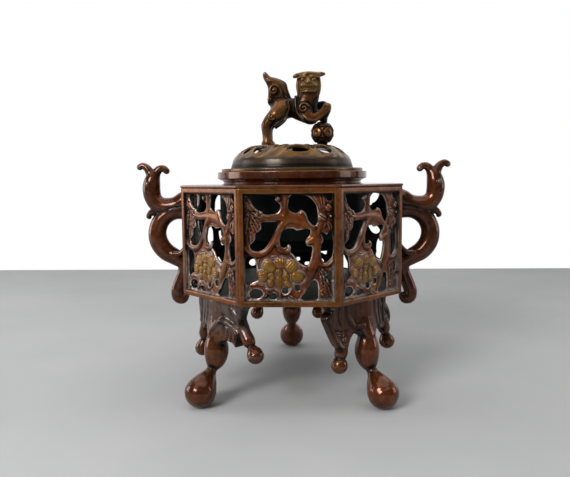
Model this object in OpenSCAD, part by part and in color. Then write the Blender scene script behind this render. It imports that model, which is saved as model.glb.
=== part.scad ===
// Lion incense burner: an eight-sided openwork bronze body on three legs, with an inner
// bowl, two beast handles and a lift-off pierced lid that carries a lion and its ball.
// Millimetres, +Z up. The origin is at table height in the middle of the whole burner's box,
// -Y is the front and +X is the side of the right-hand handle.

/* [Body] */
// Length of one side of the eight-sided body
side = 45; // [43.5:0.5:47]
// Height of the body's underside above the table
body_z = 50.3; // [49:0.1:53]
// Height of the side panels
panel_h = 52.9; // [50:0.1:56]
// Thickness of a panel at its plain border
panel_t = 3; // [2.6:0.1:3.6]
// Width of a panel's plain border
border_w = 2.6; // [2.2:0.1:3.2]
// Depth of the openwork behind the border's outer face
openwork_in = 1; // [1:0.1:1.2]
// Thickness of the openwork
openwork_t = 1.4; // [1.2:0.1:1.6]
// Height of the stems in front of the openwork's ground
stem_rise = 0.4; // [0.3:0.1:0.5]
// Height of the blossom's petals in front of the openwork's ground
petal_rise = 0.7; // [0.6:0.1:0.8]
// Width of the solid strip that a handle is soldered to
handle_strip_w = 10; // [9:0.5:12]
// Thickness of the floor plate
floor_t = 2.3; // [1.8:0.1:3]

/* [Top of the body] */
// Thickness of the shoulder plate
shoulder_t = 1.2; // [1:0.1:1.8]
// How far the shoulder plate stands out past the panels
shoulder_over = 0.4; // [0.2:0.1:0.8]
// Radius of the mouth, through the shoulder plate and the collar
mouth_r = 33.5; // [33:0.1:33.8]
// Height of the collar
collar_h = 6.4; // [6:0.1:8]
// Radius of the collar's waist
waist_r = 35.2; // [34.8:0.1:35.6]
// Radius of the collar's foot
collar_foot_r = 37; // [36.4:0.1:37.6]
// Radius of the collar's band
band_r = 38.8; // [38.2:0.1:40]
// Height of the collar's band
band_h = 3.4; // [2.6:0.1:3.8]
// Outer radius of the inner bowl
bowl_r = 37.8; // [37:0.1:39]
// Wall thickness of the inner bowl
bowl_t = 1.5; // [1.2:0.1:2]
// Depth of the inner bowl below the shoulder plate
bowl_depth = 31; // [28:0.5:34]

/* [Lid] */
// Radius of the lid's flat lip
lip_r = 36.7; // [36.2:0.1:37.6]
// Thickness of the lid's lip
lip_t = 1.6; // [1.4:0.1:2]
// Gap between the lid's locating ring and the mouth
ring_gap = 0.5; // [0.3:0.1:0.8]
// Depth of the lid's locating ring
ring_depth = 3; // [2:0.1:4]
// Radius of the dome where it meets the lip
dome_r = 31.9; // [31.2:0.1:32.2]
// Radius of the dome at the top of its plain wall
wall_top_r = 30.6; // [30.2:0.1:31]
// Height of the dome's plain wall above the lip
wall_h = 4.8; // [4.4:0.1:5.4]
// Height of the pierced shoulder above the plain wall
crown_h = 6.7; // [6.2:0.1:7.2]
// Radius of the level top that the lion stands on
top_r = 19.5; // [19.3:0.1:20]
// Wall thickness of the lid
lid_t = 1.3; // [1.2:0.1:1.5]
// Length of the longest leaf-shaped opening round the crown
opening_l = 10.6; // [9:0.2:11]
// Width of a leaf-shaped opening
opening_w = 8.4; // [7.6:0.1:8.6]

/* [Lion and ball] */
// Height of the lion above the lid
lion_h = 38.4; // [37:0.1:40]
// Radius of the ball under the lion's paws
ball_r = 6.1; // [5.7:0.1:6.4]
// Distance of the ball from the lid's axis
ball_x = 16; // [15.6:0.1:16.2]
// Radius of the ball's foot
ball_foot_r = 3; // [2.6:0.1:3.2]
// Number of round recesses about the ball's middle
recess_count = 6; // [5:1:7]
// Radius of a round recess in the ball
recess_r = 1.6; // [1.2:0.1:1.8]
// Radius of a front paw
paw_r = 2.1; // [1.9:0.1:2.3]

/* [Legs] */
// Direction of the back leg, anticlockwise from the right
back_leg_angle = 92.8; // [88:0.2:93]
// Distance of a foot's middle from the body's axis
foot_reach = 60.8; // [59:0.1:62]
// Radius of a foot
foot_r = 7.5; // [7.2:0.1:7.8]
// Depth of the flat under a foot
foot_flat = 0.4; // [0.3:0.1:0.6]
// Distance of a knee from the body's axis
knee_reach = 51; // [50.4:0.1:51.4]
// Height of a knee above the table
knee_z = 25; // [24:0.1:26]
// Radius of a knee
knee_r = 5.8; // [5.4:0.1:6.2]
// Radius of a leg at the neck above its foot
neck_r = 2.8; // [2.5:0.1:3.2]
// Half width of a leg's leaf where it meets the body
leaf_half_w = 17.4; // [16.8:0.1:18]
// Thickness of a leg's leaf
leaf_t = 6; // [5:0.1:7]
// Radius of a leaf's hanging drop
drop_r = 4; // [3.6:0.1:4.3]
// Radius of a rivet's shank
rivet_r = 1.6; // [1.4:0.1:1.9]
// Radius of a rivet's head
rivet_head_r = 3; // [2.6:0.1:3.4]
// Thickness of a rivet's head
rivet_head_t = 1.2; // [1:0.1:1.6]
// Depth of a rivet in the leg
rivet_depth = 6; // [5:0.1:7]
// Distance of a rivet from the middle of its leg
rivet_side = 9; // [8:0.1:11]
// Clearance round a rivet in its holes
rivet_gap = 0.05; // [0.03:0.01:0.1]

/* [Hidden] */
$fn = 64;

patina = [0.36, 0.17, 0.09];
worn = [0.48, 0.24, 0.10];
dark = [0.10, 0.10, 0.09];
gilt = [0.46, 0.33, 0.13];

// Eight sides, so half the angle at the axis between neighbouring sides is this
half_turn = 22.5;
apothem = side / 2 / tan(half_turn);
inner_apothem = apothem - panel_t;
open_w = side - 2 * border_w;
open_h = panel_h - 2 * border_w;

shoulder_z = body_z + panel_h;
collar_z = shoulder_z + shoulder_t;
lip_z = collar_z + collar_h;
dome_z = lip_z + lip_t;
crown_z = dome_z + wall_h;
top_z = crown_z + crown_h;

ball_z = top_z + 1.1 * ball_r;
leg_x = knee_reach - 4.5;

// The back foot reaches further out than the front panel, so the body's axis is in front of the origin
back_reach = foot_reach * sin(back_leg_angle) + foot_r;
axis_y = (apothem + shoulder_over - back_reach) / 2;
module centred() translate([0, axis_y, 0]) children();

// Width and height of the grid that the openwork is drawn on, and its place on a panel
grid = [39.8, 47.7];
function on_panel(p) = [p[0] * open_w / grid[0], body_z + border_w + p[1] * open_h / grid[1]];

// A smooth curve through the points of a list, each of any length
function bend(a, b, c, d, t) =
    0.5 * (2 * b + (c - a) * t + (2 * a - 5 * b + 4 * c - d) * t * t
           + (3 * b - a - 3 * c + d) * t * t * t);
function curve(p, steps) = concat(
    [for (i = [0 : len(p) - 2], k = [0 : steps - 1])
        bend(p[max(i - 1, 0)], p[i], p[i + 1], p[min(i + 2, len(p) - 1)], k / steps)],
    [p[len(p) - 1]]);
function backwards(p) = [for (i = [len(p) - 1 : -1 : 0]) p[i]];

// Outline of a band that follows points [x, y, width]
function heading(p, i) =
    let (d = p[min(i + 1, len(p) - 1)] - p[max(i - 1, 0)]) [d[0], d[1]] / norm([d[0], d[1]]);
function edge(p, s) = [for (i = [0 : len(p) - 1])
    let (h = heading(p, i)) [p[i][0] - s * h[1] * p[i][2] / 2, p[i][1] + s * h[0] * p[i][2] / 2]];
module band(p) polygon(concat(edge(p, 1), backwards(edge(p, -1))));

// A closed curve through points, with its ends joined smoothly
function closed(p, steps) =
    let (n = len(p))
        [for (i = [0 : n - 1], k = [0 : steps - 1])
            bend(p[(i + n - 1) % n], p[i], p[(i + 1) % n], p[(i + 2) % n], k / steps)];

// A stem of the openwork, through points [across, up, width] on the drawing grid
module stem(p) band(curve([for (q = p) concat(on_panel(q), q[2])], 3));

// A leaf or petal from its root to its tip, both on the drawing grid
module leaf(root, tip, w) {
    a = on_panel(root);
    b = on_panel(tip);
    l = norm(b - a);
    half = [for (k = [1 : 8]) let (t = k / 9) [l * t, w / 2 * sin(180 * pow(t, 1.3))]];
    mirrored = [for (q = backwards(half)) [q[0], -q[1]]];
    translate(a) rotate(atan2(b[1] - a[1], b[0] - a[0])) polygon(concat([[0, 0]], half, [[l, 0]], mirrored));
}
module bud(at, r) translate(on_panel(at)) circle(r);

// Openings of the openwork on the drawing grid, each a closed curve
openings = [
    [[-16.4, 46.9], [-11, 47.2], [-6.2, 46.8], [-6, 44.8], [-3.8, 42.8], [-4.2, 40.6], [-6.2, 39],
     [-10.6, 38.8], [-11.8, 40], [-13.8, 40.8], [-16, 43.4]],
    [[1, 46.8], [4.8, 47.2], [9, 46], [11.8, 42.8], [12.5, 39.6], [12.6, 35.4], [11.2, 33.8], [9, 35.8],
     [7.6, 39.2], [5.6, 40.6], [3.4, 39.4], [1.2, 40], [-0.1, 41.6], [0.2, 44.4]],
    [[-11.6, 34.9], [-6, 35.1], [-4.9, 34.4], [-5.8, 32], [-8, 27.8], [-10.6, 24], [-13.2, 22.6],
     [-16, 22.9], [-17.2, 24.8], [-15, 27.2], [-14.6, 30], [-12.5, 31.5], [-12, 33.6]],
    [[-2.2, 31.6], [1.8, 32.3], [3.6, 31.4], [8.6, 32], [9.2, 30], [7.3, 27], [8, 24.5], [10.2, 24],
     [9.8, 20.3], [8.8, 16.9], [7.6, 15.8], [4.4, 17.4], [2.2, 20.6], [0.8, 22], [1, 24.2], [-0.2, 25.6],
     [-1.4, 24.2], [-3, 24.2], [-3.8, 26.4], [-3.4, 29]],
    [[14.6, 30.4], [16.8, 29.4], [18.6, 31], [19.3, 27], [19.2, 21.4], [17.8, 18.6], [15.4, 17.4],
     [14.2, 20.4], [14.4, 24.8], [15.4, 27]],
    [[-19.2, 19.4], [-16, 19.6], [-14.8, 16.4], [-14.6, 12.8], [-13.9, 10], [-16.6, 8.4], [-19.2, 7.6],
     [-19.4, 13]],
    [[-17.6, 3.4], [-15.6, 5.2], [-12.6, 4.4], [-12.2, 2.6], [-14.4, 1.2], [-16.8, 1.4]],
    [[10.8, 9], [12.4, 7.8], [12.6, 2], [11.4, 0.4], [5.8, 0.6], [7.2, 3.6], [9, 6.6]],
    [[2.8, 6.8], [4.6, 6.8], [4.4, 5], [3, 4.8]],
    [[16.8, 47], [18.8, 47], [19, 45.2], [17.2, 45]],
    [[17.2, 12.8], [18.9, 12.6], [18.9, 9.4], [17.4, 9.8]],
    [[-8.8, 2.6], [-6.2, 2.6], [-6, 1], [-8.6, 0.9]],
    [[-2.6, 5.6], [-0.8, 5.4], [-1, 3.6], [-2.7, 3.8]]];

// Blossom: five round petals in a fan, and smaller ones that hang below its heart; each petal has its
// middle on the drawing grid, its half length and half width, and the direction it points in
petals = [[[-12, 11.2], [2.8, 2.5], 190], [[-8.9, 15.6], [2.9, 2.5], 135], [[-3.6, 17.2], [2.6, 2.7], 90],
          [[1, 15.6], [2.9, 2.5], 50], [[3.8, 10.9], [2.6, 2.5], -5], [[-4.6, 13.2], [1.7, 1.6], 90],
          [[-7.7, 11.2], [1.9, 1.4], 90], [[-8.5, 8.1], [1.7, 1.5], 230], [[-4.5, 8.7], [3.2, 1.7], 270],
          [[-1.3, 11], [1.9, 1.4], 90], [[-0.6, 7.8], [1.7, 1.5], 310]];
function ring(r, count) =
    [for (k = [0 : count - 1]) let (a = 360 * (k + 0.5) / count) [r[0] * cos(a), r[1] * sin(a)]];
module blossom_petals() for (q = petals) translate(on_panel(q[0])) rotate(q[2]) polygon(ring(q[1], 20));

// The stems and buds that stand in front of the ground
module stems() {
    stem([[5.2, -1, 2.6], [7.6, 7.6, 2.8], [11.8, 16.6, 3], [12.6, 24, 2.8], [10.2, 32.2, 3],
          [4, 36.4, 3.8], [-1.2, 37, 3.4]]);
    stem([[-1.4, 35.6, 3.4], [-1.6, 41, 2.2], [-1.6, 48.6, 3.4]]);
    stem([[-0.6, 36.8, 3], [-7.6, 36.6, 2.6], [-14, 38.4, 2.4], [-18.4, 46.6, 1.6]]);
    stem([[-0.8, 36, 3], [-5.2, 29.4, 2.2], [-9.8, 22.4, 2.4], [-16.2, 21.2, 2.4], [-20.6, 24, 2.2]]);
    stem([[-2.6, 34, 2], [-5, 26, 1.8], [-4.2, 23, 1.8], [-1.6, 22, 1.8], [0, 23.4, 1.4]]);
    stem([[12.2, 17.2, 2.4], [18, 16.6, 1.8], [20.6, 19.4, 1.8]]);
    leaf([-14, 38.6], [-17, 25], 4.4);
    bud([14.9, 37.4], 2.1);
    bud([17.8, 41.6], 2);
}

// The opening inside a panel's border, seen from the front
module opening(grow) translate([-open_w / 2 - grow, body_z + border_w - grow])
    square([open_w + 2 * grow, open_h + 2 * grow]);

module upright(front, t) translate([0, front + t, 0]) rotate([90, 0, 0]) linear_extrude(t) children();

module border() difference() {
    inner_side = 2 * inner_apothem * tan(half_turn);
    translate([0, 0, body_z]) linear_extrude(panel_h)
        polygon([[-side / 2, -apothem], [side / 2, -apothem],
                 [inner_side / 2, -inner_apothem], [-inner_side / 2, -inner_apothem]]);
    upright(-apothem - 1, panel_t + 2) opening(0);
}

// A part of the openwork that stands in front of its ground, with its ends let into the border
module raised(rise) upright(openwork_in - rise - apothem, openwork_t / 2 + rise) intersection() {
    opening(0.4);
    children();
}

module openwork() difference() {
    union() {
        upright(openwork_in - apothem, openwork_t) opening(0.4);
        raised(stem_rise) stems();
        raised(petal_rise) blossom_petals();
    }
    upright(-apothem - 1, panel_t + 2)
        for (o = openings) polygon(closed([for (q = o) on_panel(q)], 3));
}

// The front panel; has_handle adds the solid strip behind a handle
module panel(has_handle) {
    border();
    openwork();
    if (has_handle)
        translate([-handle_strip_w / 2, -apothem, body_z + border_w / 2])
            cube([handle_strip_w, panel_t, panel_h - border_w]);
}

module panel_front() centred() color(worn) panel(false);
module panel_front_right() centred() color(patina) rotate(45) panel(false);
module panel_right() centred() color(patina) rotate(90) panel(true);
module panel_back_right() centred() color(patina) rotate(135) panel(false);
module panel_back() centred() color(patina) rotate(180) panel(false);
module panel_back_left() centred() color(patina) rotate(225) panel(false);
module panel_left() centred() color(patina) rotate(270) panel(true);
module panel_front_left() centred() color(patina) rotate(315) panel(false);

// An eight-sided outline with one side facing the front
module octagon(a) rotate(half_turn) circle(a / cos(half_turn), $fn = 8);

// Places for the two rivets of a leg, in the leg's own frame
module at_rivets() for (s = [-1, 1]) translate([leg_x, s * rivet_side, 0]) children();
module on_legs() for (a = [225, 315, back_leg_angle]) rotate(a) children();

module floor_plate() centred() color(dark) difference() {
    translate([0, 0, body_z]) linear_extrude(floor_t) octagon(inner_apothem);
    on_legs() at_rivets() translate([0, 0, body_z - 1])
        cylinder(r = rivet_r + rivet_gap, h = floor_t + 2);
}

module shoulder_plate() centred() color(patina) difference() {
    translate([0, 0, shoulder_z]) linear_extrude(shoulder_t) octagon(apothem + shoulder_over);
    translate([0, 0, shoulder_z - 1]) cylinder(r = mouth_r, h = shoulder_t + 2);
}

module collar() centred() color(patina) {
    waist_z = collar_z + 1.2;
    band_z = lip_z - band_h;
    rotate_extrude() polygon([
        [mouth_r, collar_z], [collar_foot_r, collar_z], [waist_r, waist_z],
        [band_r, band_z], [band_r, lip_z], [mouth_r, lip_z]]);
}

module bowl() centred() color(dark) {
    bottom_z = shoulder_z - bowl_depth;
    rotate_extrude() polygon([
        [0, bottom_z], [bowl_r - 6, bottom_z], [bowl_r, bottom_z + 6], [bowl_r, shoulder_z],
        [bowl_r - bowl_t, shoulder_z], [bowl_r - bowl_t, bottom_z + 6.5],
        [bowl_r - 6.5, bottom_z + bowl_t], [0, bottom_z + bowl_t]]);
}

// The crown's slope, from the top of the plain wall in to the level top
crown_bow = 1.7;
function crown(wide, high) =
    [for (k = [8 : -1 : 0]) [top_r + wide * k / 8, crown_z + high * (1 - pow(k / 8, crown_bow))]];

module lid_shell() {
    ring_r = mouth_r - ring_gap;
    inside_r = wall_top_r - lid_t;
    rotate_extrude() polygon(concat(
        [[ring_r, lip_z - ring_depth], [ring_r, lip_z], [lip_r, lip_z], [lip_r, dome_z], [dome_r, dome_z]],
        crown(wall_top_r - top_r, crown_h),
        [[0, top_z], [0, top_z - lid_t]],
        backwards(crown(inside_r - top_r, crown_h - lid_t)),
        [[ring_r - lid_t, dome_z], [ring_r - lid_t, lip_z - ring_depth]]));
}

module leaf_opening(l) {
    half = [for (k = [1 : 5]) [l * (k / 6 - 0.5), opening_w / 2 * sin(30 * k)]];
    mirrored = [for (q = backwards(half)) [q[0], -q[1]]];
    polygon(concat([[-l / 2, 0]], half, [[l / 2, 0]], mirrored));
}

// Openings round the crown: direction in degrees, share of the longest one's length
lid_openings = [[12, 0.7], [57, 1], [100, 0.8], [128, 0.6], [152, 0.9], [176, 0.6], [196, 0.7], [214, 0.5],
                [234, 0.65], [282, 1], [309, 0.7], [342, 0.6]];

module lid() centred() color(worn) difference() {
    lid_shell();
    opening_reach = (top_r + wall_top_r) / 2;
    for (o = lid_openings)
        rotate(o[0]) translate([opening_reach, 0, crown_z - lid_t])
            rotate(90) linear_extrude(crown_h + 4) leaf_opening(o[1] * opening_l);
}

// Balls [x, y, z, radius] joined in a row
bead_facets = 14;
module bead(b) translate([b[0], b[1], b[2]]) sphere(b[3], $fn = bead_facets);
module limb(beads) for (i = [0 : len(beads) - 2]) hull() {
    bead(beads[i]);
    bead(beads[i + 1]);
}

// The lion's beads are those of a lion of this height, and grow with it
lion_drawn_h = 38.4;
module lion_limb(beads) limb(beads * lion_h / lion_drawn_h);

// A front paw that rests on the ball, on the side s of the lion
paw_gap = 0.15;
paw_side = 3.2;
paw_z = ball_z - top_z + sqrt(pow(ball_r + paw_r + paw_gap, 2) - pow(paw_side, 2));
function paw(s) = [ball_x, s * paw_side, paw_z, paw_r] * lion_drawn_h / lion_h;

module lion_body() {
    lion_limb([[-5, 0, 19.4, 6.2], [1, 0, 19.4, 5], [7.4, 0, 19.4, 6.2], [8.7, -0.6, 27, 5.6],
               [9.2, -1.6, 31.6, 5.8]]);
    lion_limb([[4, 0.6, 18, 4.6], [10.4, 1.6, 15, 4.2]]);
    lion_limb([[9, -4.4, 31, 4], [9, -5.6, 28.6, 3]]);
}

module lion_cap() {
    lion_limb([[1.8, -1.4, 35.4, 1], [9, -4.6, 36, 1.6], [16.8, -1.2, 36.4, 1], [9, 3, 36, 1.6],
               [1.8, -1.4, 35.4, 1]]);
    hull() {
        for (b = [[5, -1.6, 35, 2.4], [13, -1.6, 35.2, 2.4], [9, 1.4, 35, 2.4]])
            bead(b * lion_h / lion_drawn_h);
    }
}

module lion_tail() {
    lion_limb([[-4, 0.6, 22.6, 4], [-4.6, 0.6, 28.4, 3], [-5.4, 0.6, 31.4, 3], [-10.4, 0.6, 34, 2.2],
               [-13.4, 0.6, 37, 1.3]]);
    lion_limb([[-9.2, 0.6, 30.6, 3], [-8.8, 0.6, 26.6, 3.4], [-9.4, 0.6, 23.6, 2.8]]);
    lion_limb([[-9, -1.6, 28.6, 2.8], [-9, 2.8, 28.6, 2.8]]);
    lion_limb([[-10.6, -0.8, 23.8, 2], [-10.6, 2, 23.8, 2]]);
}

module lion_hind_leg(s)
    lion_limb([[-5.4, 3.4 * s, 18.6, 4.8], [-9.4, 5 * s, 14.4, 3.8], [-12.6, 5 * s, 11, 2.6],
          [-12.2, 5 * s, 5, 2.3], [-12.8, 5 * s, 1.6, 2.2], [-10.6, 5 * s, 1.2, 1.8]]);

module lion_front_legs() {
    lion_limb([[6.8, -4, 18.6, 3.8], [9.6, -5.4, 14.8, 2.4], [13.4, -5.4, 14.8, 2.2],
          [18.6, -4.6, 19.4, 2.1], paw(-1)]);
    lion_limb([[8, 4, 20, 3.5], [13.2, 5, 20.8, 2.2], [17.4, 4.6, 21.2, 2], paw(1)]);
}

module lion() centred() color(gilt) translate([0, 0, top_z]) intersection() {
    union() {
        lion_body();
        lion_cap();
        lion_tail();
        lion_hind_leg(1);
        lion_hind_leg(-1);
        lion_front_legs();
    }
    translate([-25, -25, 0]) cube(50);
}

module ball() centred() color(worn) difference() {
    union() {
        translate([ball_x, 0, ball_z]) sphere(ball_r);
        translate([ball_x, 0, top_z]) cylinder(r = ball_foot_r, h = 0.6 * ball_r);
    }
    for (i = [0 : recess_count - 1])
        translate([ball_x, 0, ball_z]) rotate([0, 90, 360 * (i + 0.5) / recess_count])
            translate([0, 0, 0.84 * ball_r]) cylinder(r = recess_r, h = ball_r);
}

// Beads of a handle, measured from the outer face of its panel and from the body's underside,
// for a panel of this height; they grow with it
handle_drawn_h = 52.9;
handle_scale = panel_h / handle_drawn_h;
function on_side(b) = [apothem + handle_scale * b[0], 0, body_z + handle_scale * b[1], handle_scale * b[2]];
module rail(beads) limb([for (b = beads) on_side(b)]);

module handle_beast() {
    rail([[-1, 46, 6.2], [4.5, 44.4, 5.4], [11, 42.8, 5], [17, 43.6, 4.6], [20.2, 48, 4.6],
          [20.4, 54, 4.7], [19.2, 58.5, 3.6]]);
    rail([[18.2, 59.5, 2.6], [16.6, 62, 2.2], [14.2, 62.8, 1.9], [12.4, 61.8, 1.7]]);
    rail([[20.6, 59.5, 2.8], [22.2, 62.6, 2.2], [24.4, 64.2, 1.7], [26, 63.8, 1.6]]);
    rail([[21.6, 39.6, 2], [22, 38.4, 1.4]]);
}

module handle_loop() {
    rail([[-1, 40.6, 5], [6, 40.4, 4.6], [12, 38.4, 4.6], [16.4, 34.4, 4.7], [18.2, 29, 4.9],
          [17.2, 23.2, 4.9], [13.4, 18.6, 4.8], [8, 15.6, 4.5], [4, 12.4, 4]]);
    rail([[-0.6, 26, 2], [0.8, 19, 3.6], [3, 12, 4], [4.4, 7, 3.6], [6.4, 2, 3.8], [7.6, -3, 3.8],
          [7, -6.2, 3.8], [5.2, -5.6, 3]]);
}

module handle() difference() {
    union() {
        handle_beast();
        handle_loop();
    }
    translate([apothem - 20, -20, 0]) cube([20, 40, 200]);
}

module handle_right() centred() color(worn) handle();
module handle_left() centred() color(worn) mirror([1, 0, 0]) handle();

// A turned shape through points [radius, height], closed on its axis
module turned(p) {
    c = curve(p, 4);
    rotate_extrude() polygon(concat([[0, c[0][1]]], c, [[0, c[len(c) - 1][1]]]));
}

module leg_post() translate([knee_reach, 0, 0])
    turned([[neck_r, knee_z - 7], [neck_r + 1.6, knee_z - 4.4], [knee_r, knee_z], [knee_r - 0.8, knee_z + 5],
            [knee_r - 1.4, knee_z + 10], [knee_r, body_z - 6], [knee_r, body_z - 1]]);

module leg_foot() {
    foot_z = foot_r - foot_flat;
    neck = [knee_reach + 1.2, knee_z - 5.5];
    lean = atan2(foot_reach - neck[0], neck[1] - foot_z);
    long = norm([foot_reach - neck[0], neck[1] - foot_z]);
    translate([foot_reach, 0, foot_z]) {
        sphere(foot_r);
        rotate([0, -lean, 0])
            turned([[0.94 * foot_r, 0.3 * foot_r], [0.72 * foot_r, 0.7 * foot_r], [neck_r + 1, long - 5],
                    [neck_r, long - 2], [neck_r, long]]);
    }
}

// A drop hangs from the leaf at root, [sideways, depth below the body], and ends in a ball at tip,
// [sideways, height above the table]
module leg_drop(root, tip) {
    down = body_z - root[1] - tip[1];
    lean = atan2(tip[0] - root[0], down);
    long = norm([tip[0] - root[0], down]);
    translate([leg_x, tip[0], tip[1]]) rotate([lean, 0, 0]) {
        sphere(drop_r);
        turned([[0.8 * drop_r, 0.6 * drop_r], [0.27 * leaf_t, drop_r + 0.9], [0.44 * leaf_t, 0.7 * long],
                [0.38 * leaf_t, long]]);
    }
}

// One side of a leaf's edge from the body down to the leg, as distance from its middle and depth below
// the body: a pointed web beside the leg, a broad wing, or hanging folds
web_side = [[17.4, 0], [17.2, 4], [15.6, 8], [17.2, 11.8], [16, 14.6], [13.8, 16], [12.6, 21.4],
            [10.8, 19.6], [7.6, 19], [5, 19.6], [3, 18]];
wing_side = [[21.4, 0], [22.4, 3.4], [25, 6.2], [22.8, 11.4], [19.6, 17.2], [16.2, 21.4], [12, 21.8],
             [10.6, 18.2], [8.6, 15], [5.6, 14.4], [3, 17]];
fold_side = [[15.8, 0], [16, 5.4], [15.4, 11.4], [16, 16.2], [12.6, 16.8], [9.4, 14.2], [6.6, 12.8], [3, 16]];
function leaf_side(p, s) = [for (q = p) [s * q[0] * leaf_half_w / 17.4, body_z - q[1]]];

module leg_leaf(left, right)
    translate([leg_x - leaf_t / 2, 0, 0]) rotate([90, 0, 90]) linear_extrude(leaf_t)
        polygon(concat(leaf_side(left, 1), backwards(leaf_side(right, -1))));

// One leg along +X; each side has its own leaf edge and the root and tip of its drop
module leg(left, left_drop, right, right_drop) difference() {
    union() {
        leg_post();
        leg_foot();
        leg_leaf(left, right);
        leg_drop(left_drop[0], left_drop[1]);
        leg_drop(right_drop[0], right_drop[1]);
    }
    translate([foot_reach - 20, -20, -20]) cube([40, 40, 20]);
    translate([leg_x - 20, -40, body_z]) cube([40, 80, 20]);
    at_rivets() translate([0, 0, body_z - rivet_depth])
        cylinder(r = rivet_r + rivet_gap, h = rivet_depth + 1);
}

module leg_front_left() centred() color(patina) rotate(225)
    leg(web_side, [[15.4, 12.7], [24, 27]], fold_side, [[-13.6, 13.3], [-18, 22]]);
module leg_front_right() centred() color(patina) rotate(315)
    leg(fold_side, [[14.6, 12.3], [21, 25.3]], wing_side, [[-12.6, 17], [-14.5, 20.3]]);
module leg_back() centred() color(patina) rotate(back_leg_angle)
    leg(web_side, [[15, 12.4], [21.5, 25]], web_side, [[-15, 12], [-16.3, 25]]);

module leg_rivets() centred() color(worn) on_legs() at_rivets() {
    translate([0, 0, body_z - rivet_depth]) cylinder(r = rivet_r, h = rivet_depth + floor_t);
    translate([0, 0, body_z + floor_t]) cylinder(r = rivet_head_r, h = rivet_head_t);
}

floor_plate();
panel_front();
panel_front_right();
panel_right();
panel_back_right();
panel_back();
panel_back_left();
panel_left();
panel_front_left();
shoulder_plate();
collar();
bowl();
lid();
lion();
ball();
handle_right();
handle_left();
leg_front_left();
leg_front_right();
leg_back();
leg_rivets();
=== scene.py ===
"""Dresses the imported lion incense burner: cast bronze pieces sculpted in code, patina, stage and camera."""
import math

import bpy
import numpy as np
from mathutils import Matrix, Vector


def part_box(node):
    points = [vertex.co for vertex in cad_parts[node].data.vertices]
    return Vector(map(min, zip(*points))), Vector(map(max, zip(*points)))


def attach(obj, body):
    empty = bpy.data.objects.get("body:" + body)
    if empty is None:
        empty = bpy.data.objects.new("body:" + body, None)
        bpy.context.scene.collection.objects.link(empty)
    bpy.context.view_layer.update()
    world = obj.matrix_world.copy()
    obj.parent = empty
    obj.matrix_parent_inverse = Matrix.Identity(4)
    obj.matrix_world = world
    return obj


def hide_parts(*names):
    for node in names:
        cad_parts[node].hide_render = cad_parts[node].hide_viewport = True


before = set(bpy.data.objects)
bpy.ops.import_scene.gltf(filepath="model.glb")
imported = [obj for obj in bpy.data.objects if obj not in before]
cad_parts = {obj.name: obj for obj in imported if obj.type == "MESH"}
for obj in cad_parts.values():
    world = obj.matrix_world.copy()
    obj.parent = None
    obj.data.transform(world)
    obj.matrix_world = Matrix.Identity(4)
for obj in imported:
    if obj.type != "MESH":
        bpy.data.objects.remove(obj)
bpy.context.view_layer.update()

# Pieces are drawn in millimetres, and the scene is in metres
MM = 0.001
# A distance beyond all that matter, in millimetres, and the least length to divide by
FAR = 9.0
TINY = 1e-9

# Sizes of the solids that the sculpted pieces fit, in millimetres
SIDE = 45.0
BODY_Z = 50.3
PANEL_H = 52.9
PANEL_T = 3.0
BORDER_W = 2.6
STRIP_W = 10.0
SHOULDER_T = 1.2
COLLAR_H = 6.4
COLLAR_R = 38.8
MOUTH_R = 33.5
LIP_T = 1.6
LIP_R = 36.7
RING_R = 32.2
RING_T = 1.6
WALL_H = 4.8
WALL_FOOT_R = 31.9
WALL_TOP_R = 30.6
CROWN_H = 6.7
CROWN_BOW = 1.7
TOP_R = 19.5
LID_T = 1.3
OPENING_L = 10.6
OPENING_W = 8.4
BALL_R = 6.1
BALL_X = 16.0
LEG_X = 46.5

HALF_TURN = math.radians(22.5)
APOTHEM = SIDE / 2 / math.tan(HALF_TURN)
OPEN_W = SIDE - 2 * BORDER_W
OPEN_H = PANEL_H - 2 * BORDER_W
OPEN_Z = BODY_Z + BORDER_W
PANEL_MID_Z = OPEN_Z + OPEN_H / 2
OPENWORK_BACK = APOTHEM - PANEL_T + 0.3
SHOULDER_Z = BODY_Z + PANEL_H
COLLAR_Z = SHOULDER_Z + SHOULDER_T
LIP_Z = COLLAR_Z + COLLAR_H
DOME_Z = LIP_Z + LIP_T
CROWN_Z = DOME_Z + WALL_H
TOP_Z = CROWN_Z + CROWN_H

# The body's vertical axis stands in front of the frame's origin, in metres
collar_low, collar_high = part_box("collar")
AXIS_Y = (collar_low[1] + collar_high[1]) / 2

# Steps of the grids on which the panels' drawing and the castings are worked out, in millimetres
DRAWING_STEP = 0.13
PANEL_STEP = 0.26
LION_STEP = 0.25
BALL_STEP = 0.2
LID_STEP = 0.32
HANDLE_STEP = 0.3
LEG_STEP = 0.33
# Number of sides of the turned collar and of the shoulder plate
COLLAR_SIDES = 160
SHOULDER_SIDES = 240

# Turns about the body's axis, in degrees, of each panel and each leg
PANEL_TURNS = {
    "panel_front": 0, "panel_front_right": 45, "panel_right": 90, "panel_back_right": 135,
    "panel_back": 180, "panel_back_left": 225, "panel_left": 270, "panel_front_left": 315,
}
LEG_TURNS = {"leg_front_left": 225.0, "leg_front_right": 315.0, "leg_back": 92.8}
# Each leg's two hanging drops: where each leaves the leaf, and its ball, as sideways and up
LEG_DROPS = {
    "leg_front_left": (((15.4, 37.6), (24.0, 27.0)), ((-13.6, 37.0), (-18.0, 22.0))),
    "leg_front_right": (((16.6, 38.0), (21.0, 25.3)), ((-12.6, 30.4), (-14.5, 20.3))),
    "leg_back": (((15.0, 37.6), (21.5, 25.0)), ((-15.0, 37.6), (-16.3, 25.0))),
}
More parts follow.
